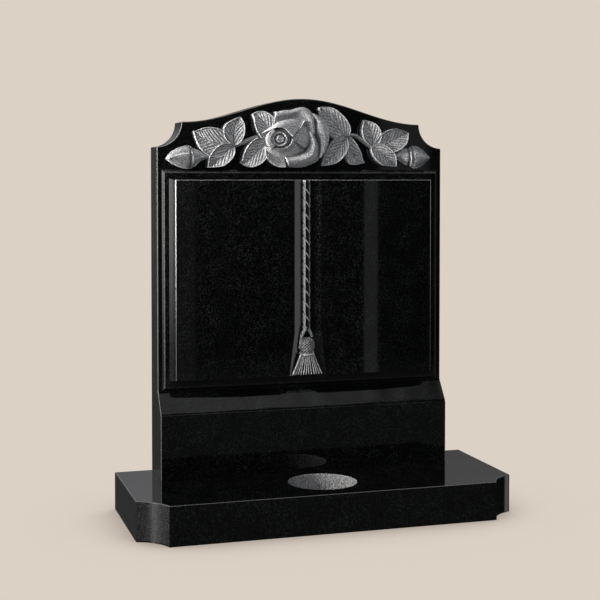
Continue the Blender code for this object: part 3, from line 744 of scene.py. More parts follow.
def tassel():
    """Two cord ends, a netted head, the ring that binds it, and the threads over a hollow painted dark
    as shade. The net is pale where either of two slanting waves is near 0, and cut, with painted shade,
    where both are far."""
    shape = Shape()
    for way, low_x, low_z, deep in ((-1, 15.8, -30.0, 24.5), (1, 11.5, -8.0, 21.5)):
        places = ((way * 2.5, 14.0), (way * 5.0, 7.0), (way * 9.5, -1.0), (way * low_x, low_z))
        flat = through(np.array(places), 50) * MM
        line = np.stack([flat[:, 0], np.full(50, BORDER - deep * MM), TASSEL_TOP + flat[:, 1]], axis=1)
        tube(shape, line, np.linspace(4.0, 2.4, 50) * MM)

    def net(turn, z):
        along = NET_MESHES * turn
        climb = 2 * math.pi * (z - TASSEL_RING) / NET_RISE
        crossing = np.sin((along + climb) / 2) * np.sin((along - climb) / 2)
        return smooth(np.abs(crossing), 0.10, 0.36)

    rise = np.linspace(0, 1, 110)
    z = TASSEL_RING + 2 * MM + (HEAD_TOP - TASSEL_RING - 2 * MM) * rise
    swell = rounded(np.interp(rise, *np.array(HEAD_SWELL).T), 5)
    floor = BORDER - TASSEL_FLOOR
    dome(shape, z, HEAD_HALF * swell, floor + (TASSEL_PROUD - floor) * swell, 130, net,
         sag=HEAD_SAG * (1 - rise))

    lap = np.linspace(0, math.pi, 15)
    ring_z = TASSEL_RING - 0.5 * MM + 2.2 * MM * (1 - np.cos(lap))
    bulge = 1.6 * MM * np.sin(lap)
    dome(shape, ring_z, 14.8 * MM + bulge, TASSEL_PROUD - 1.6 * MM + bulge, 60, sag=HEAD_SAG)

    fall = np.linspace(0, 1, 44)
    for number in range(THREADS):
        way = (number + 0.5) / THREADS * 2 - 1
        high_x = way * HEAD_HALF * 0.86
        low_x = way * FRINGE_HALF * 0.95
        bend = math.sin(1.7 * number) * 0.8 * MM
        x = high_x + (low_x - high_x) * fall**1.08 + bend * np.sin(math.pi * fall)
        arch = math.sqrt(1 - (0.86 * way) ** 2)
        y = np.full(len(fall), BORDER - (26.6 + 2.6 * arch) * MM)
        high_z = TASSEL_RING + (2.5 - 4.5 * arch) * MM
        z = high_z + (TASSEL_LOW - 0.6 * MM - high_z) * fall
        ending = np.sqrt(np.clip(1 - ((fall - 0.95) / 0.05).clip(0, 1) ** 2, 0.05, 1))
        thick = (0.85 + 0.35 * fall) * MM * ending * (2.2 if number == 0 else 1.0)
        tube(shape, np.stack([x, y, z], axis=1), thick, sides=14)
    core = np.linspace(0, 1, 12)
    low = TASSEL_LOW + 4 * MM
    half = HEAD_HALF * 0.8 + (FRINGE_HALF * 0.86 - HEAD_HALF * 0.8) * core
    behind = np.full(len(core), 26.2 * MM)
    # painted shade: the hollow behind the threads is painted near black
    dome(shape, TASSEL_RING + (low - TASSEL_RING) * core, half, behind, 40, pale_and_painted_shade=0.0, flat=0.3)
    return shape


tassel().build("tassel", [frosted], sharp=50)


# %% [markdown]
# ## The carved spray
# The carver leaves the rose, leaves and buds standing on the border, and cuts their faces in low
# relief with steep sides. Each is a patch between two edge lines: one parameter runs along, the
# other across, and a height function gives the face. A narrow chamfer and a wall close it.

# %% A patch of relief on the border
CHAMFER = 0.5 * MM
# painted shade: a wall is pale at its rim and painted near black at its foot
WALL_PAINTED_SHADE = np.array([[1.0], [0.85], [0.0]])


def standing(flat, proud):
    """Points that lie flat[..., 0] right of and flat[..., 1] above the rose's heart and proud of
    the border, all in millimetres."""
    proud = np.broadcast_to(proud, flat.shape[:2])
    return np.stack([HEART_X + flat[..., 0] * MM, BORDER - proud * MM, HEART_Z + flat[..., 1] * MM], axis=-1)


def relief(shape, flat, proud, chamfer=CHAMFER, pale_and_painted_shade=1.0):
    """A closed block with a carved face: flat and proud are as in standing. Its wall is bruised
    pale at the rim only, and painted dark as shade at its foot."""
    face = standing(flat, proud)
    loop = np.concatenate([face[0], face[1:, -1], face[-1, -2::-1], face[-2:0:-1, 0]])
    apart = np.linalg.norm(loop - np.roll(loop, 1, axis=0), axis=1) > WELD
    loop = loop[apart]
    plan = loop[:, [0, 2]]
    area = np.sum(plan[:, 0] * np.roll(plan[:, 1], -1) - plan[:, 1] * np.roll(plan[:, 0], -1))
    out = -sideways(plan, closed=True) * np.sign(area)
    step = np.stack([out[:, 0], np.zeros(len(out)), out[:, 1]], axis=1) * chamfer
    edge = loop + step + np.array([0, chamfer, 0])
    low = edge.copy()
    low[:, 1] = BORDER + SINK
    shape.grid(face, pale_and_painted_shade=pale_and_painted_shade)
    shape.grid(np.stack([loop, edge, low]), around=True, pale_and_painted_shade=WALL_PAINTED_SHADE)
    shape.cap(low)


def patch(first, other, across):
    """Places between two edge lines, at shares across from the first to the other."""
    t = np.asarray(across)[None, :, None]
    return first[:, None, :] * (1 - t) + other[:, None, :] * t


def opened(flat):
    """How far the edges of a patch have parted: 0 at a point, 1 past a quarter of its width."""
    width = np.linalg.norm(flat[:, -1] - flat[:, 0], axis=-1)
    return np.clip(4 * width / width.max(), 0, 1)[:, None]


# %% [markdown]
# A leaf is a valley along its midrib, so that one half turns to the light and the other away.
# The carver's veins are thin strokes that leave the midrib and bend towards the tip.

# %% Leaves
LEAVES = {
    "left_low_outer": ((-93, -14), (-175, 14), ((-116, 16), (-148, 22)), ((-126, -38), (-158, -24)), 15),
    "left_high": ((-93, -14), (-78, 44), ((-113, 6), (-109, 28)), ((-74, 2), (-71, 27)), 15),
    "left_low_inner": ((-93, -15), (-146, -58), ((-119, -12), (-141, -32)), ((-95, -36), (-115, -54)), 17),
    "rose_high_left": ((-23, -4), (-53, 49), ((-41, 9), (-49, 28)), ((0, 25), (-23, 53)), 16),
    "rose_low_left": ((-15, -5), (-79, -48), ((-50, -1), (-70, -25)), ((-22, -35), (-50, -56)), 17),
    "rose_high_right": ((147, 6), (88, 65), ((151, 32), (123, 61)), ((119, 2), (96, 31)), 17),
    "low_middle": ((152, 5), (188, -47), ((163, -1), (177, -23)), ((145, -25), (154, -49)), 13),
    "rose_low_right": ((147, 6), (95, -54), ((123, 3), (102, -26)), ((148, -22), (127, -46)), 17),
    "right_high": ((204, -14), (185, 41), ((186, 0), (180, 19)), ((222, 5), (213, 30)), 17),
    "right_outer": ((205, -14), (285, 15), ((220, 9), (249, 23)), ((247, -26), (277, -9)), 17),
    "right_low": ((204, -14), (258, -55), ((226, -9), (251, -27)), ((204, -31), (224, -50)), 17),
}
VALLEY = 0.24
TIP_PINCH = 0.38
VEIN_PITCH = 8.4
VEIN_DEPTH = 1.0
VEIN_LEAN = 1.55
RIB_DEPTH = 0.9
RIM_DEPTH = 1.2


def leaf(shape, name):
    """Height = rim x (a long arch) x (1 - valley), less the midrib's groove, the veins and a groove
    inside the rim, which is deeper to the left. A vein is where distance along the leaf less
    VEIN_LEAN x distance from the midrib is a whole number of pitches."""
    joint, tip, first, other, rim = LEAVES[name]
    s = np.linspace(0, 1, 181)
    t = np.linspace(0, 1, 65)
    flat = patch(through_four((joint, *first, tip), s), through_four((joint, *other, tip), s), t)
    middle = (flat[:, :1] + flat[:, -1:]) / 2
    flat = middle + (flat - middle) * (1 - TIP_PINCH * smooth(s, 0.70, 1.0))[:, None, None]
    length = math.dist(joint, tip)
    width = np.linalg.norm(flat[:, -1] - flat[:, 0], axis=-1)[:, None]
    side = np.abs(2 * t - 1)[None, :]
    seed = sum(map(ord, name))
    open_share = opened(flat)
    arch = 0.55 + 0.45 * np.sin(math.pi * (0.12 + 0.80 * s))[:, None]
    face = rim * arch * (1 - VALLEY * open_share * (1 - side) ** 0.85)
    from_rib = side * width / 2
    along = s[:, None] * length
    place = (along - VEIN_LEAN * from_rib + 0.06 * from_rib**1.5) / VEIN_PITCH
    place = place + 0.12 * np.sin(along / 9 + seed) + np.where(t[None, :] > 0.5, 0.5, 0.0)
    stroke = smooth(np.abs(np.mod(place, 1) - 0.5) * 2, 0.30, 0.85)
    strength = 0.70 + 0.30 * np.sin(2.4 * np.floor(place) + seed)
    from_edge = (1 - side) * width / 2
    reach = smooth(side, 0.03, 0.12) * smooth(from_edge, 2.0, 3.5) * smooth(s[:, None], 0.03, 0.14)
    veins = strength * stroke * reach * open_share
    rib = np.exp(-((from_rib / 0.9) ** 2)) * open_share
    parted = flat[:, 0] - flat[:, -1]
    leftward = 0.5 - 0.5 * (0.8 * parted[:, :1] - 0.6 * parted[:, 1:]) / np.maximum(width, 0.01)
    leftward = np.where(t[None, :] < 0.5, leftward, 1 - leftward)
    inside = np.exp(-(((from_edge - 2.6) / 0.95) ** 2)) * open_share * (0.2 + 0.8 * leftward)
    lip = (1 - smooth(from_edge, 0.9, 2.0)) * leftward
    face = face - VEIN_DEPTH * veins - RIB_DEPTH * rib - RIM_DEPTH * inside + 0.4 * lip
    # painted shade: the veins, the midrib and the groove inside the rim are darkened in colour, the groove
    # most on the left
    painted_cut_shade = np.maximum(np.maximum(0.72 * veins, 0.75 * rib), 0.80 * inside)
    relief(shape, flat, face, pale_and_painted_shade=1 - painted_cut_shade)


left_leaves = Shape()
right_leaves = Shape()
for name, facts in LEAVES.items():
    leaf(left_leaves if facts[1][0] < 0 else right_leaves, name)
left_leaves.build("left_leaves", [frosted], sharp=50)
right_leaves.build("right_leaves", [frosted], sharp=50)

# %% [markdown]
# A bud lies on its side: closed petals in front, a calyx behind them. Both are round bodies with
# a seam or a lip cut into them, and the stems are half-round rods.

# %% Buds and stems
BUDS = {
    "left": (((-180, -20), (-190, -15), (-213, -23), (-230, -41)),
             ((-176, -56), (-192, -60), (-215, -52), (-230, -41)), 17),
    "right": (((288, -19), (300, -12), (318, -20), (334, -37)),
              ((290, -52), (303, -58), (320, -50), (334, -37)), 17),
}
CALYXES = {
    "left": (((-182, -18), (-170, -22), (-158, -27), (-142, -34)),
             ((-177, -57), (-168, -52), (-160, -45), (-146, -40)), 14),
    "right": (((286, -18), (276, -18), (267, -22), (255, -30)),
              ((286, -52), (276, -49), (268, -43), (257, -36)), 15),
}
STEMS = {
    "left": ((-90, -14), (-74, -8), (-60, -2), (-42, 4)),
    "right": ((152, 8), (168, 9), (182, 1), (206, -16)),
}


def round_face(t):
    """The section of a body that lies half in the stone, so its edges stand off by 0.4."""
    return np.sqrt(np.clip(1 - (2 * t - 1) ** 2, 0.16, 1))


def pod(sides, lengthwise, across):
    """A patch between two lines through four places, with the proudness of a round body on it."""
    first, other, proud = sides
    s = np.linspace(0, 1, lengthwise)
    t = np.linspace(0, 1, across)
    flat = patch(through_four(first, s), through_four(other, s), t)
    body = proud * (0.5 + (round_face(t)[None, :] - 0.5) * opened(flat))
    return flat, body, s[:, None], t[None, :]


def ridge(value, middle, width):
    """1 at the middle, falling to both sides as a bell."""
    return np.exp(-(((value - middle) / width) ** 2))


def bud(shape, side):
    """Closed petals: a round face with one seam from the tip, and a rolled lip over the calyx."""
    flat, body, s, t = pod(BUDS[side], 81, 61)
    seam_at = 0.30 + 0.20 * s**2
    step = smooth(t, seam_at - 0.02, seam_at + 0.05) - 0.6 * smooth(t, seam_at, seam_at + 0.5)
    crevice = ridge(s, 0.17, 0.05)
    body = body + 2.0 * step * opened(flat) * smooth(s, 0.05, 0.3) + 1.6 * ridge(s, 0, 0.07) - 0.5 * crevice
    seam = ridge(t, seam_at, 0.035) * smooth(s, 0.12, 0.2)
    streaks = 0.25 * smooth(np.abs(np.mod(9 * t + 1.5 * s, 1) - 0.5) * 2, 0.5, 1)
    # painted shade: the bud is darkened except along its seam line, more in streaks, and most in its crevice
    painted_shade = np.maximum(0.34 * (1 - seam) + streaks, 0.85 * crevice)
    relief(shape, flat, body, pale_and_painted_shade=1 - painted_shade * (0.5 + 0.5 * opened(flat)))


def calyx(shape, side):
    """The cup that the bud sits in, with three shallow folds."""
    flat, body, s, t = pod(CALYXES[side], 61, 49)
    folds = 0.6 * np.cos(6 * math.pi * t) * smooth(1 - s, 0.1, 0.8)
    crevice = ridge(s, 0, 0.07)
    face = body * (1 - 0.25 * s) + folds - 1.5 * crevice
    # painted shade: darker in the crevice and in the hollows of the folds
    relief(shape, flat, face, pale_and_painted_shade=1 - 0.9 * crevice - 0.25 * smooth(-folds, 0.0, 0.6))


def stem(shape, side):
    """A rod along four places, 7 mm wide, with one groove."""
    line = through_four(STEMS[side], np.linspace(0, 1, 60))
    out = sideways(line) * 3.5
    t = np.linspace(0, 1, 21)
    flat = patch(line + out, line - out, t)
    groove = 0.8 * ridge(t, 0.62, 0.06)
    # painted shade in the groove
    relief(shape, flat, 9 * round_face(t) - groove, pale_and_painted_shade=1 - 0.9 * groove)


buds = Shape()
for side in BUDS:
    stem(buds, side)
    calyx(buds, side)
    bud(buds, side)
buds.build("buds_and_stems", [frosted], sharp=50)


# %% [markdown]
# ## The rose
# Seen from the front, the rose is an eye-shaped heart between two curled lids, a fan of one petal
# to its right, and broad outer petals behind. Every petal is a patch between an outer and an
# inner line, written as bearings and reaches round the heart. Its heights run from the outer
# line over the middle to the inner one. The two lids that roll over the heart end in a raised
# lip. painted_shade lists where across the petal shade is painted into its colour, in crevices
# and on a face that takes too much light: how much, from where, to where.

# %% Petals
PETALS = {
    "outer_right": dict(
        outer=((36, 90), (28, 98), (12, 107), (1, 106), (-12, 102), (-23, 97)),
        inner=((36, 84), (25, 82), (11, 73), (0, 79), (-12, 85), (-23, 91)),
        heights=((0, 19), (0.30, 22), (0.55, 21.5), (0.85, 17.5), (1, 12)), painted_shade=((1, 0.58, 0.80),)),
    "top": dict(
        outer=((97.5, 55.5), (93, 55), (82, 58), (67, 64), (50, 84), (36, 87), (22, 80), (8, 76)),
        inner=((112, 27), (102, 28), (90, 29), (75, 34), (60, 40), (44, 48), (28, 54), (12, 58)),
        heights=((0, 20), (0.16, 22), (0.30, 21.5), (0.52, 18), (0.78, 15.5), (1, 13)),
        painted_shade=((0.45, 0.30, 0.45), (0.8, 0.72, 0.92))),
    "lower_right": dict(
        outer=((11, 75), (-4, 84), (-16, 92), (-25, 95), (-36, 86), (-48, 76), (-68, 61)),
        inner=((15, 60), (-6, 62), (-20, 57), (-34, 50), (-46, 42), (-58, 37), (-72, 33)),
        heights=((0, 12), (0.25, 21), (0.5, 25), (0.72, 23), (1, 15)), painted_shade=((1, 0.62, 0.90),)),
    "lower_left": dict(
        outer=((-151, 33), (-138, 38), (-126, 45), (-114, 49), (-101, 53), (-88, 57), (-76, 59)),
        inner=((-150, 26), (-138, 26), (-125, 27), (-112, 28), (-98, 29), (-85, 33), (-72, 38)),
        heights=((0, 17.5), (0.12, 17.5), (0.3, 14), (0.7, 15), (1, 16)), painted_shade=((0.5, 0.2, 0.9),)),
    "upper_lid": dict(
        outer=((163, 39), (140, 31), (115, 29.5), (95, 34), (76, 40), (60, 48), (46, 58), (35, 65)),
        inner=((163, 38), (148, 30), (129, 26), (108, 24), (90, 23), (68, 22.5), (45, 22), (11, 26)),
        heights=((0, 15), (0.2, 19), (0.6, 25.5), (0.88, 29.5), (1, 29)), painted_shade=()),
    "fan": dict(
        outer=((34, 62), (25, 67), (16, 70), (6, 71), (-4, 69), (-14, 66), (-26, 56)),
        inner=((24, 27), (18, 27), (12, 27), (6, 27), (2, 27), (-2, 27), (-6, 27)),
        heights=((0, 16), (0.2, 20), (0.55, 24), (0.85, 22.5), (1, 19)), painted_shade=((1, 0.26, 0.04),)),
    "lower_lid": dict(
        outer=((-151, 36), (-137, 35), (-120, 34.5), (-102, 35), (-86, 37), (-72, 40), (-48, 49),
               (-26, 55)),
        inner=((-151, 34), (-135, 27), (-118, 22), (-96, 20.5), (-73, 20.5), (-50, 22), (-30, 24),
               (0, 26)),
        heights=((0, 15), (0.25, 18.5), (0.6, 22), (0.85, 27), (1, 28.5)), painted_shade=()),
    # painted shade: heart_left is darkened all over, so that it takes less of the light
    "heart_left": dict(
        outer=((128, 24), (145, 25), (168, 27), (-176, 27.5), (-162, 27), (-146, 26), (-134, 24)),
        inner=((120, 13), (140, 13), (165, 13.5), (180, 13.5), (-165, 13.5), (-145, 13), (-120, 13)),
        heights=((0, 26.5), (0.2, 27.5), (0.45, 28.5), (0.75, 28), (1, 25.5)), painted_shade=((0.58, -2, -1),)),
}
FAN_EDGES = (((11, 26), (17, 33), (24, 44), (30, 54), (35, 65)),
             ((0, 26), (-10, 31), (-18, 39), (-23, 47), (-26, 56)))
LID_LIP = 0.8
FAN_END_FALL = 4.0
FAN_EDGE_HALF = 1.1
FAN_EDGE_PROUD = 27.5
FAN_EDGE_FALL = 4.0
HEART_REACH = 22.5
HEART_PITCH = 8.6
BALL_PROUD = 4.2
BALL_REACH = 5.6
CUSHION_RIM = ((98, 48), (60, 56), (34, 80), (10, 92), (-22, 84), (-45, 66), (-76, 50), (-126, 36),
               (-160, 26), (155, 28), (98, 48))
CUSHION_TOP = (8.0, 2.0)


def polar(places):
    """Bearings in degrees and reaches in millimetres to places right of and above the heart."""
    turn, reach = np.array(places, float).T
    turn = np.radians(turn)
    return np.stack([reach * np.cos(turn), reach * np.sin(turn)], axis=1)


def petal(shape, name):
    """A patch whose height follows a smoothed profile from its outer to its inner line. Fine
    strokes fan out over the face, strongest on the lower left petal. The fan falls to its ends."""
    facts = PETALS[name]
    s = np.linspace(0, 1, 141)
    t = np.linspace(0, 1, 65)
    outer = through(polar(facts["outer"]), len(s))
    inner = through(polar(facts["inner"]), len(s))
    flat = patch(outer, inner, t)
    shares, heights = np.array(facts["heights"], float).T
    section = rounded(np.interp(t, shares, heights), 4)[None, :]
    open_share = opened(flat)
    face = heights[0] + (section - heights[0]) * open_share
    run = s[:, None] * np.linalg.norm(np.diff(outer, axis=0), axis=1).sum()
    over = t[None, :]
    depth = 0.5 if name == "lower_left" else 0.16
    strokes = smooth(np.abs(np.mod(run / 3.1 + 0.3 * over, 1) - 0.5) * 2, 0.5, 1)
    face = face - depth * strokes * open_share
    if name.endswith("lid"):
        face = face + LID_LIP * smooth(over, 0.90, 0.97) * open_share
    painted_shade = 0 * face
    if name == "fan":
        # the fan's ends: this mask lowers them and paints shade on them
        painted_shade = 1 - (smooth(s, 0.0, 0.14) * smooth(1 - s, 0.0, 0.14))[:, None] + 0 * over
        face = face - FAN_END_FALL * painted_shade
    # painted shade: each petal's listed bands are darkened in colour
    for share, start, stop in facts["painted_shade"]:
        painted_shade = np.maximum(painted_shade, share * smooth(over, start, stop))
    relief(shape, flat, face, pale_and_painted_shade=1 - 0.85 * painted_shade * open_share)


def fan_edge(shape, places):
    """A thin rolled edge along the fan's border, from the heart outwards."""
    line = through(polar(places), 60)
    s = np.linspace(0, 1, len(line))[:, None]
    out = sideways(line) * FAN_EDGE_HALF * (1 - 0.4 * s)
    t = np.linspace(0, 1, 11)
    height = FAN_EDGE_PROUD - FAN_EDGE_FALL * s - 1.6 + 1.6 * round_face(t)[None, :]
    # painted shade: the rolled edge is painted darker, so that its lit side stays dull
    relief(shape, patch(line + out, line - out, t), height, chamfer=CHAMFER / 2, pale_and_painted_shade=0.35)


def heart(shape):
    """The furled middle: a ball in a well, and round it a ring-shaped ridge that stands where the
    reach over the pitch, shifted a little with the bearing, is halfway between whole numbers."""
    reach = np.linspace(0, HEART_REACH, 73)[:, None]
    turn = np.linspace(0, 2 * math.pi, 145)[None, :]
    place = reach / HEART_PITCH - 0.16 + 0.08 * np.cos(turn - 0.6)
    valley = np.abs(np.mod(place, 1) - 0.5) * 2
    ball = BALL_PROUD * np.sqrt(np.clip(1 - (reach / BALL_REACH) ** 2, 0, 1))
    well = smooth(reach, 4.6, 6.2)
    face = 24.0 + ball + well * 5.0 * (1 - smooth(valley, 0.05, 0.95)) - 0.10 * reach
    face = face - 3.0 * smooth(reach, 0.86 * HEART_REACH, HEART_REACH)
    flat = np.stack([reach * np.cos(turn), 0.94 * reach * np.sin(turn)], axis=-1)
    skin = standing(flat, face)
    skin[:, -1] = skin[:, 0]
    low = skin[-1:].copy()
    low[..., 1] = BORDER + SINK
    rim = smooth(reach, 0.84 * HEART_REACH, 0.95 * HEART_REACH) + 0 * turn
    # painted shade: the heart's rim and the bottoms of its ring valleys are darkened in colour
    pale_and_painted_shade = 1 - rim - 0.85 * well * smooth(valley, 0.45, 0.9) * (1 - rim)
    shape.grid(np.concatenate([skin, low]), pale_and_painted_shade=np.concatenate([pale_and_painted_shade, pale_and_painted_shade[-1:]]))
    shape.cap(low[0, :-1])


def cushion(shape):
    """The mass that the petals grow from, so that no gap between them shows the polished border."""
    rim = through(polar(CUSHION_RIM), 120)
    t = np.linspace(0, 1, 20)
    flat = patch(rim, np.repeat([CUSHION_TOP], len(rim), axis=0), t)
    skin = standing(flat, 11 + 8 * np.sin(t * math.pi / 2)[None, :])
    skin[-1] = skin[0]
    low = skin[:, :1].copy()
    low[..., 1] = BORDER + SINK
    # painted shade: the cushion is painted dark, as the gaps between the petals lie in shade
    shape.grid(np.concatenate([low, skin], axis=1), pale_and_painted_shade=0.15)
    shape.cap(low[:-1, 0])


rose = Shape()
cushion(rose)
for name in PETALS:
    petal(rose, name)
for places in FAN_EDGES:
    fan_edge(rose, places)
heart(rose)
rose.build("rose", [frosted], sharp=50)


# %% [markdown]
# ## The base
# The base is a block with a shallow scoop across each front corner and a drilled hole. Cutting
# the hole with a boolean would leave ragged faces, so its skin is one closed grid: round the
# outline in one direction, and in the other up the bore, out over the top, down the side and
# back underneath.

# %% Base block
SCOOP = 53 * MM
SCOOP_HOLLOW = 9.5 * MM
HOLE_RADIUS = 67.5 * MM
HOLE_Y = BASE_LOW[1] + 105 * MM
BASE_ARRIS = 1.5 * MM
HOLE_EASE = 1.2 * MM
BED_EASE = 0.8 * MM


def base_outline():
    """Plan of the base, anticlockwise, and which of its steps belong to the left scoop."""
    half, front, back = BASE_HIGH[0], BASE_LOW[1], BASE_HIGH[1]
    chord = SCOOP * math.sqrt(2)
    radius = (chord**2 / 4 + SCOOP_HOLLOW**2) / (2 * SCOOP_HOLLOW)
    spread = math.degrees(math.asin(chord / 2 / radius))
    out = (radius - SCOOP_HOLLOW) / math.sqrt(2) - SCOOP / 2
    left = arc((-half - out, front - out), radius, 45 + spread, 45 - spread, 41)
    right = arc((half + out, front - out), radius, 135 + spread, 135 - spread, 41)
    corners = [left, right, np.array([[half, back]]), np.array([[-half, back]])]
    pieces = []
    for piece, after in zip(corners, corners[1:] + corners[:1]):
        gap = np.linspace(0, 1, 60)[1:-1, None]
        pieces += [piece, piece[-1] * (1 - gap) + after[0] * gap]
    scoop = np.arange(len(left) - 1)
    return np.concatenate(pieces), scoop


def mitred(line, inset):
    """The line moved inwards by inset, corners kept sharp: each point moves along the sum of the
    normals before and after it, divided by one plus their cosine."""
    ahead = np.roll(line, -1, axis=0) - line
    ahead = ahead / np.linalg.norm(ahead, axis=1, keepdims=True)
    normal = np.stack([-ahead[:, 1], ahead[:, 0]], axis=1)
    before = np.roll(normal, 1, axis=0)
    return line + inset * (normal + before) / (1 + np.sum(normal * before, axis=1, keepdims=True))


def base_body():
    """The base's skin. The bore's points lie on the bearings of the outline's points."""
    line, scooped = base_outline()
    ray = line - np.array([0.0, HOLE_Y])
    ray = ray / np.linalg.norm(ray, axis=1, keepdims=True)

    def bore(radius, z):
        plan = np.array([0.0, HOLE_Y]) + ray * radius
        return np.column_stack([plan, np.full(len(plan), z)])

    def rim(inset, z):
        return np.column_stack([mitred(line, inset), np.full(len(line), z)])

    top, bed = BASE_HIGH[2], BASE_LOW[2]
    turn = np.radians(np.linspace(0, 90, 4))
    rings = [bore(HOLE_RADIUS, bed)]
    rings += [bore(HOLE_RADIUS, z) for z in np.linspace(bed, top - HOLE_EASE, 24)[1:]]
    rings += [bore(HOLE_RADIUS + 0.5 * MM, top - 0.35 * MM), bore(HOLE_RADIUS + HOLE_EASE, top)]
    drilled_steps = len(rings) - 1
    rings += [bore(HOLE_RADIUS + 2 * MM, top), rim(BASE_ARRIS + SUPPORT, top)]
    honed_from = len(rings) - 1
    rings += [rim(BASE_ARRIS * (1 - math.sin(a)), top - BASE_ARRIS * (1 - math.cos(a))) for a in turn]
    rings += [rim(0, top - BASE_ARRIS - SUPPORT)]
    rings += [rim(0, z) for z in np.linspace(top - 6 * MM, bed + 3 * MM, 12)]
    side_to = len(rings) - 1
    rings += [rim(0, bed + BED_EASE), rim(BED_EASE, bed), rim(2 * MM, bed), bore(HOLE_RADIUS, bed)]
    skin = np.stack(rings)
    finish = np.zeros((len(rings) - 1, len(line)), dtype=int)
    finish[:drilled_steps] = 2
    side_from = honed_from + 3
    finish[honed_from:side_from] = 1
    finish[side_from:side_to, scooped] = 3
    shape = Shape()
    shape.grid(skin, around=True, finish=finish)
    return shape


base_body().build("base_block", [polished, honed, drilled, dulled], sharp=35, stone="base")


# %% [markdown]
# ## Floor, light and camera
# A polished black stone shows nothing but what stands round it, so the studio matters as much as
# the stone. The floor glows in its own pale colour, as an evenly lit studio floor looks, and
# ambient occlusion lays the soft shadow under the stone.

# %% Floor
PALE = (0.7157, 0.6376, 0.5583)
SHADE = (0.40, 0.35, 0.30)
FLOOR_HALF = 9.0


def pale_floor():
    """A square that the camera sees, but no mirror."""
    mesh = bpy.data.meshes.new("floor")
    corners = [(x * FLOOR_HALF, y * FLOOR_HALF, 0) for x, y in ((-1, -1), (1, -1), (1, 1), (-1, 1))]
    mesh.from_pydata(corners, [], [(0, 1, 2, 3)])
    made = bpy.data.objects.new("floor", mesh)
    bpy.context.scene.collection.objects.link(made)
    made.location.z = BASE_LOW[2] - 0.2 * MM
    material = bpy.data.materials.new("pale_floor")
    material.use_nodes = True
    tree = material.node_tree
    tree.nodes.clear()
    near = node(tree, "ShaderNodeAmbientOcclusion", {"samples": 16}, {"Distance": 0.30}, out="AO")
    shade = mixed(tree, soft_step(tree, near, 0.35, 1.0), SHADE, PALE)
    glow = node(tree, "ShaderNodeEmission", {}, {"Color": shade, "Strength": 1.0})
    node(tree, "ShaderNodeOutputMaterial", {}, {"Surface": glow})
    mesh.materials.append(material)
    made.visible_glossy = False
    made.visible_diffuse = False
    print("floor at", round(made.location.z / MM, 1))


pale_floor()

# %% [markdown]
# The world carries the mirror images: tall panels on the left, cards on the right and behind the
# camera, a glow behind the stone and overhead, and a dark room in front. Lamps could do it, but
# directions are simpler to set one by one, and no lamp shows. The camera itself sees only the
# plain backdrop.

# %% The studio in the world
PANELS = ((1.25, (64, 84), (-30, 32), (4, 5)), (3.8, (88, 112), (-30, 32), (3, 5)),
          (8.0, (102, 109), (-30, 32), (2.5, 5)))
CARDS = ((0.07, (100, 180), (-90, -9.5), (10, 2)), (0.05, (-180, -100), (-90, -9.5), (10, 2)),
         (0.12, (84, 122), (-40, -12), (6, 2)), (1.05, (-116, -104), (-22, 30), (4, 4)),
         (0.7, (-98, -72), (-9.5, 30), (6, 2)), (0.22, (-159.4, -157.5), (-9.0, 4), (0.25, 0.5)),
         (0.06, (-179.5, -174.4), (-9.0, 4), (0.3, 0.5)))


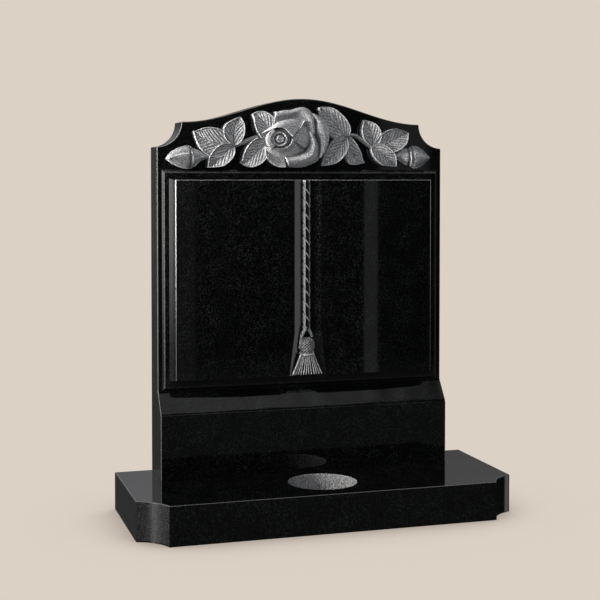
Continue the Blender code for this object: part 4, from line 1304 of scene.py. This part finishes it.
def studio():
    """Brightness by direction. turn is the bearing from the back towards the left, in degrees, and
    rise the height above the horizon. Each light is a soft-edged window in turn and rise: its
    strength, its turns, its rises, and how soft its edges are. The panels fade below the horizon."""
    world = bpy.data.worlds.new("studio")
    bpy.context.scene.world = world
    world.use_nodes = True
    tree = world.node_tree
    tree.nodes.clear()
    way = node(tree, "ShaderNodeTexCoord", {}, {}, out="Generated")
    x, y, z = (node(tree, "ShaderNodeSeparateXYZ", {}, {"Vector": way}, out=axis) for axis in "XYZ")
    turn = x.maths("ARCTAN2", -1 * x, y) * (180 / math.pi)
    rise = z.maths("ARCSINE", z) * (180 / math.pi)

    def within(value, span, soft):
        low, high = span
        return soft_step(tree, value, low - soft, low) * soft_step(tree, value, high + soft, high)

    def window(turns, rises, soft):
        return within(turn, turns, soft[0]) * within(rise, rises, soft[1])

    climb = 0.045 + 0.03 * soft_step(tree, rise, -12, 3) + 0.62 * soft_step(tree, rise, 3, 27)
    right_fall = 0.60 + 0.40 * soft_step(tree, turn, -21, -11)
    light = 0.015 + climb * right_fall * window((-45, 55), (-90, 90), (15, 1))
    overhead = 0.46 - 0.34 * window((-127, -50), (-90, 63), (25, 5))
    light = light + overhead * soft_step(tree, rise, 50, 58)
    fade = 0.12 + 0.88 * soft_step(tree, rise, -8.5, -0.5)
    for strength, *place in CARDS:
        light = light + strength * window(*place)
    for strength, *place in PANELS:
        light = light + strength * fade * window(*place)
    backdrop = node(tree, "ShaderNodeBackground", {}, {"Color": (*PALE, 1), "Strength": 1.0})
    colour = mixed(tree, soft_step(tree, light, 0.8, 4.0), (1.0, 1.0, 1.035), (1.0, 0.985, 0.975))
    room = node(tree, "ShaderNodeBackground", {}, {"Color": colour, "Strength": light})
    seen = node(tree, "ShaderNodeLightPath", {}, {}, out="Is Camera Ray")
    both = tree.nodes.new("ShaderNodeMixShader")
    for slot, value in zip(both.inputs, (seen, room, backdrop)):
        connect(tree, slot, value)
    node(tree, "ShaderNodeOutputWorld", {}, {"Surface": Wire(tree, both.outputs[0])})
    print("studio of", len(PANELS) + len(CARDS), "windows of light")


studio()

# %% [markdown]
# Dull stone needs a light with a direction. One beam grazes the carving from the left, so that
# every cut on it casts a shadow, and a wide soft lamp in front keeps the shadows open.

# %% Beams on the carving
def beam(name, place, aim, size, power, colour, spread):
    """A soft lamp that lights dull stone and shows in no mirror. spread is its cone in degrees."""
    lamp = bpy.data.lights.new(name, "AREA")
    lamp.shape = "RECTANGLE"
    lamp.size, lamp.size_y = size
    lamp.energy = power
    lamp.color = colour
    lamp.spread = math.radians(spread)
    made = bpy.data.objects.new(name, lamp)
    bpy.context.scene.collection.objects.link(made)
    away = np.array(aim) - np.array(place)
    made.location = place
    made.rotation_mode = "QUATERNION"
    made.rotation_quaternion = Vector(away).to_track_quat("-Z", "Y")
    made.visible_glossy = False
    print(name, power, "W")


beam("left_beam", (-1.88, -0.14, 0.98), (0.0, 0.05, 0.76), (0.25, 0.3), 9.0, (1.0, 0.955, 0.90), 50)
beam("front_fill", (-0.6, -2.4, 1.5), (0.0, 0.05, 0.70), (1.2, 1.2), 30.0, (0.955, 0.975, 1.0), 180)


# %% [markdown]
# The camera stands to the left of the middle, a little under the crown, and looks two degrees
# down. Most of the aim is a shift of the view and not a tilt, so upright edges stay nearly upright.

# %% Camera
LENS = 77.0865
SENSOR = 36.0
TURN = 16.931
DOWN = 2.0
CAMERA_PLACE = (-0.777751, -2.449016, 0.672308)
SHIFT_DOWN = 0.12526

view = bpy.data.cameras.new("camera")
view.lens = LENS
view.sensor_width = SENSOR
view.shift_y = -SHIFT_DOWN
camera = bpy.data.objects.new("camera", view)
camera.location = CAMERA_PLACE
camera.rotation_euler = (math.radians(90 - DOWN), 0.0, math.radians(-TURN))
bpy.context.scene.collection.objects.link(camera)
bpy.context.scene.camera = camera
bpy.context.scene.view_settings.view_transform = "Standard"
print("camera at", CAMERA_PLACE, "with a lens of", LENS, "mm")
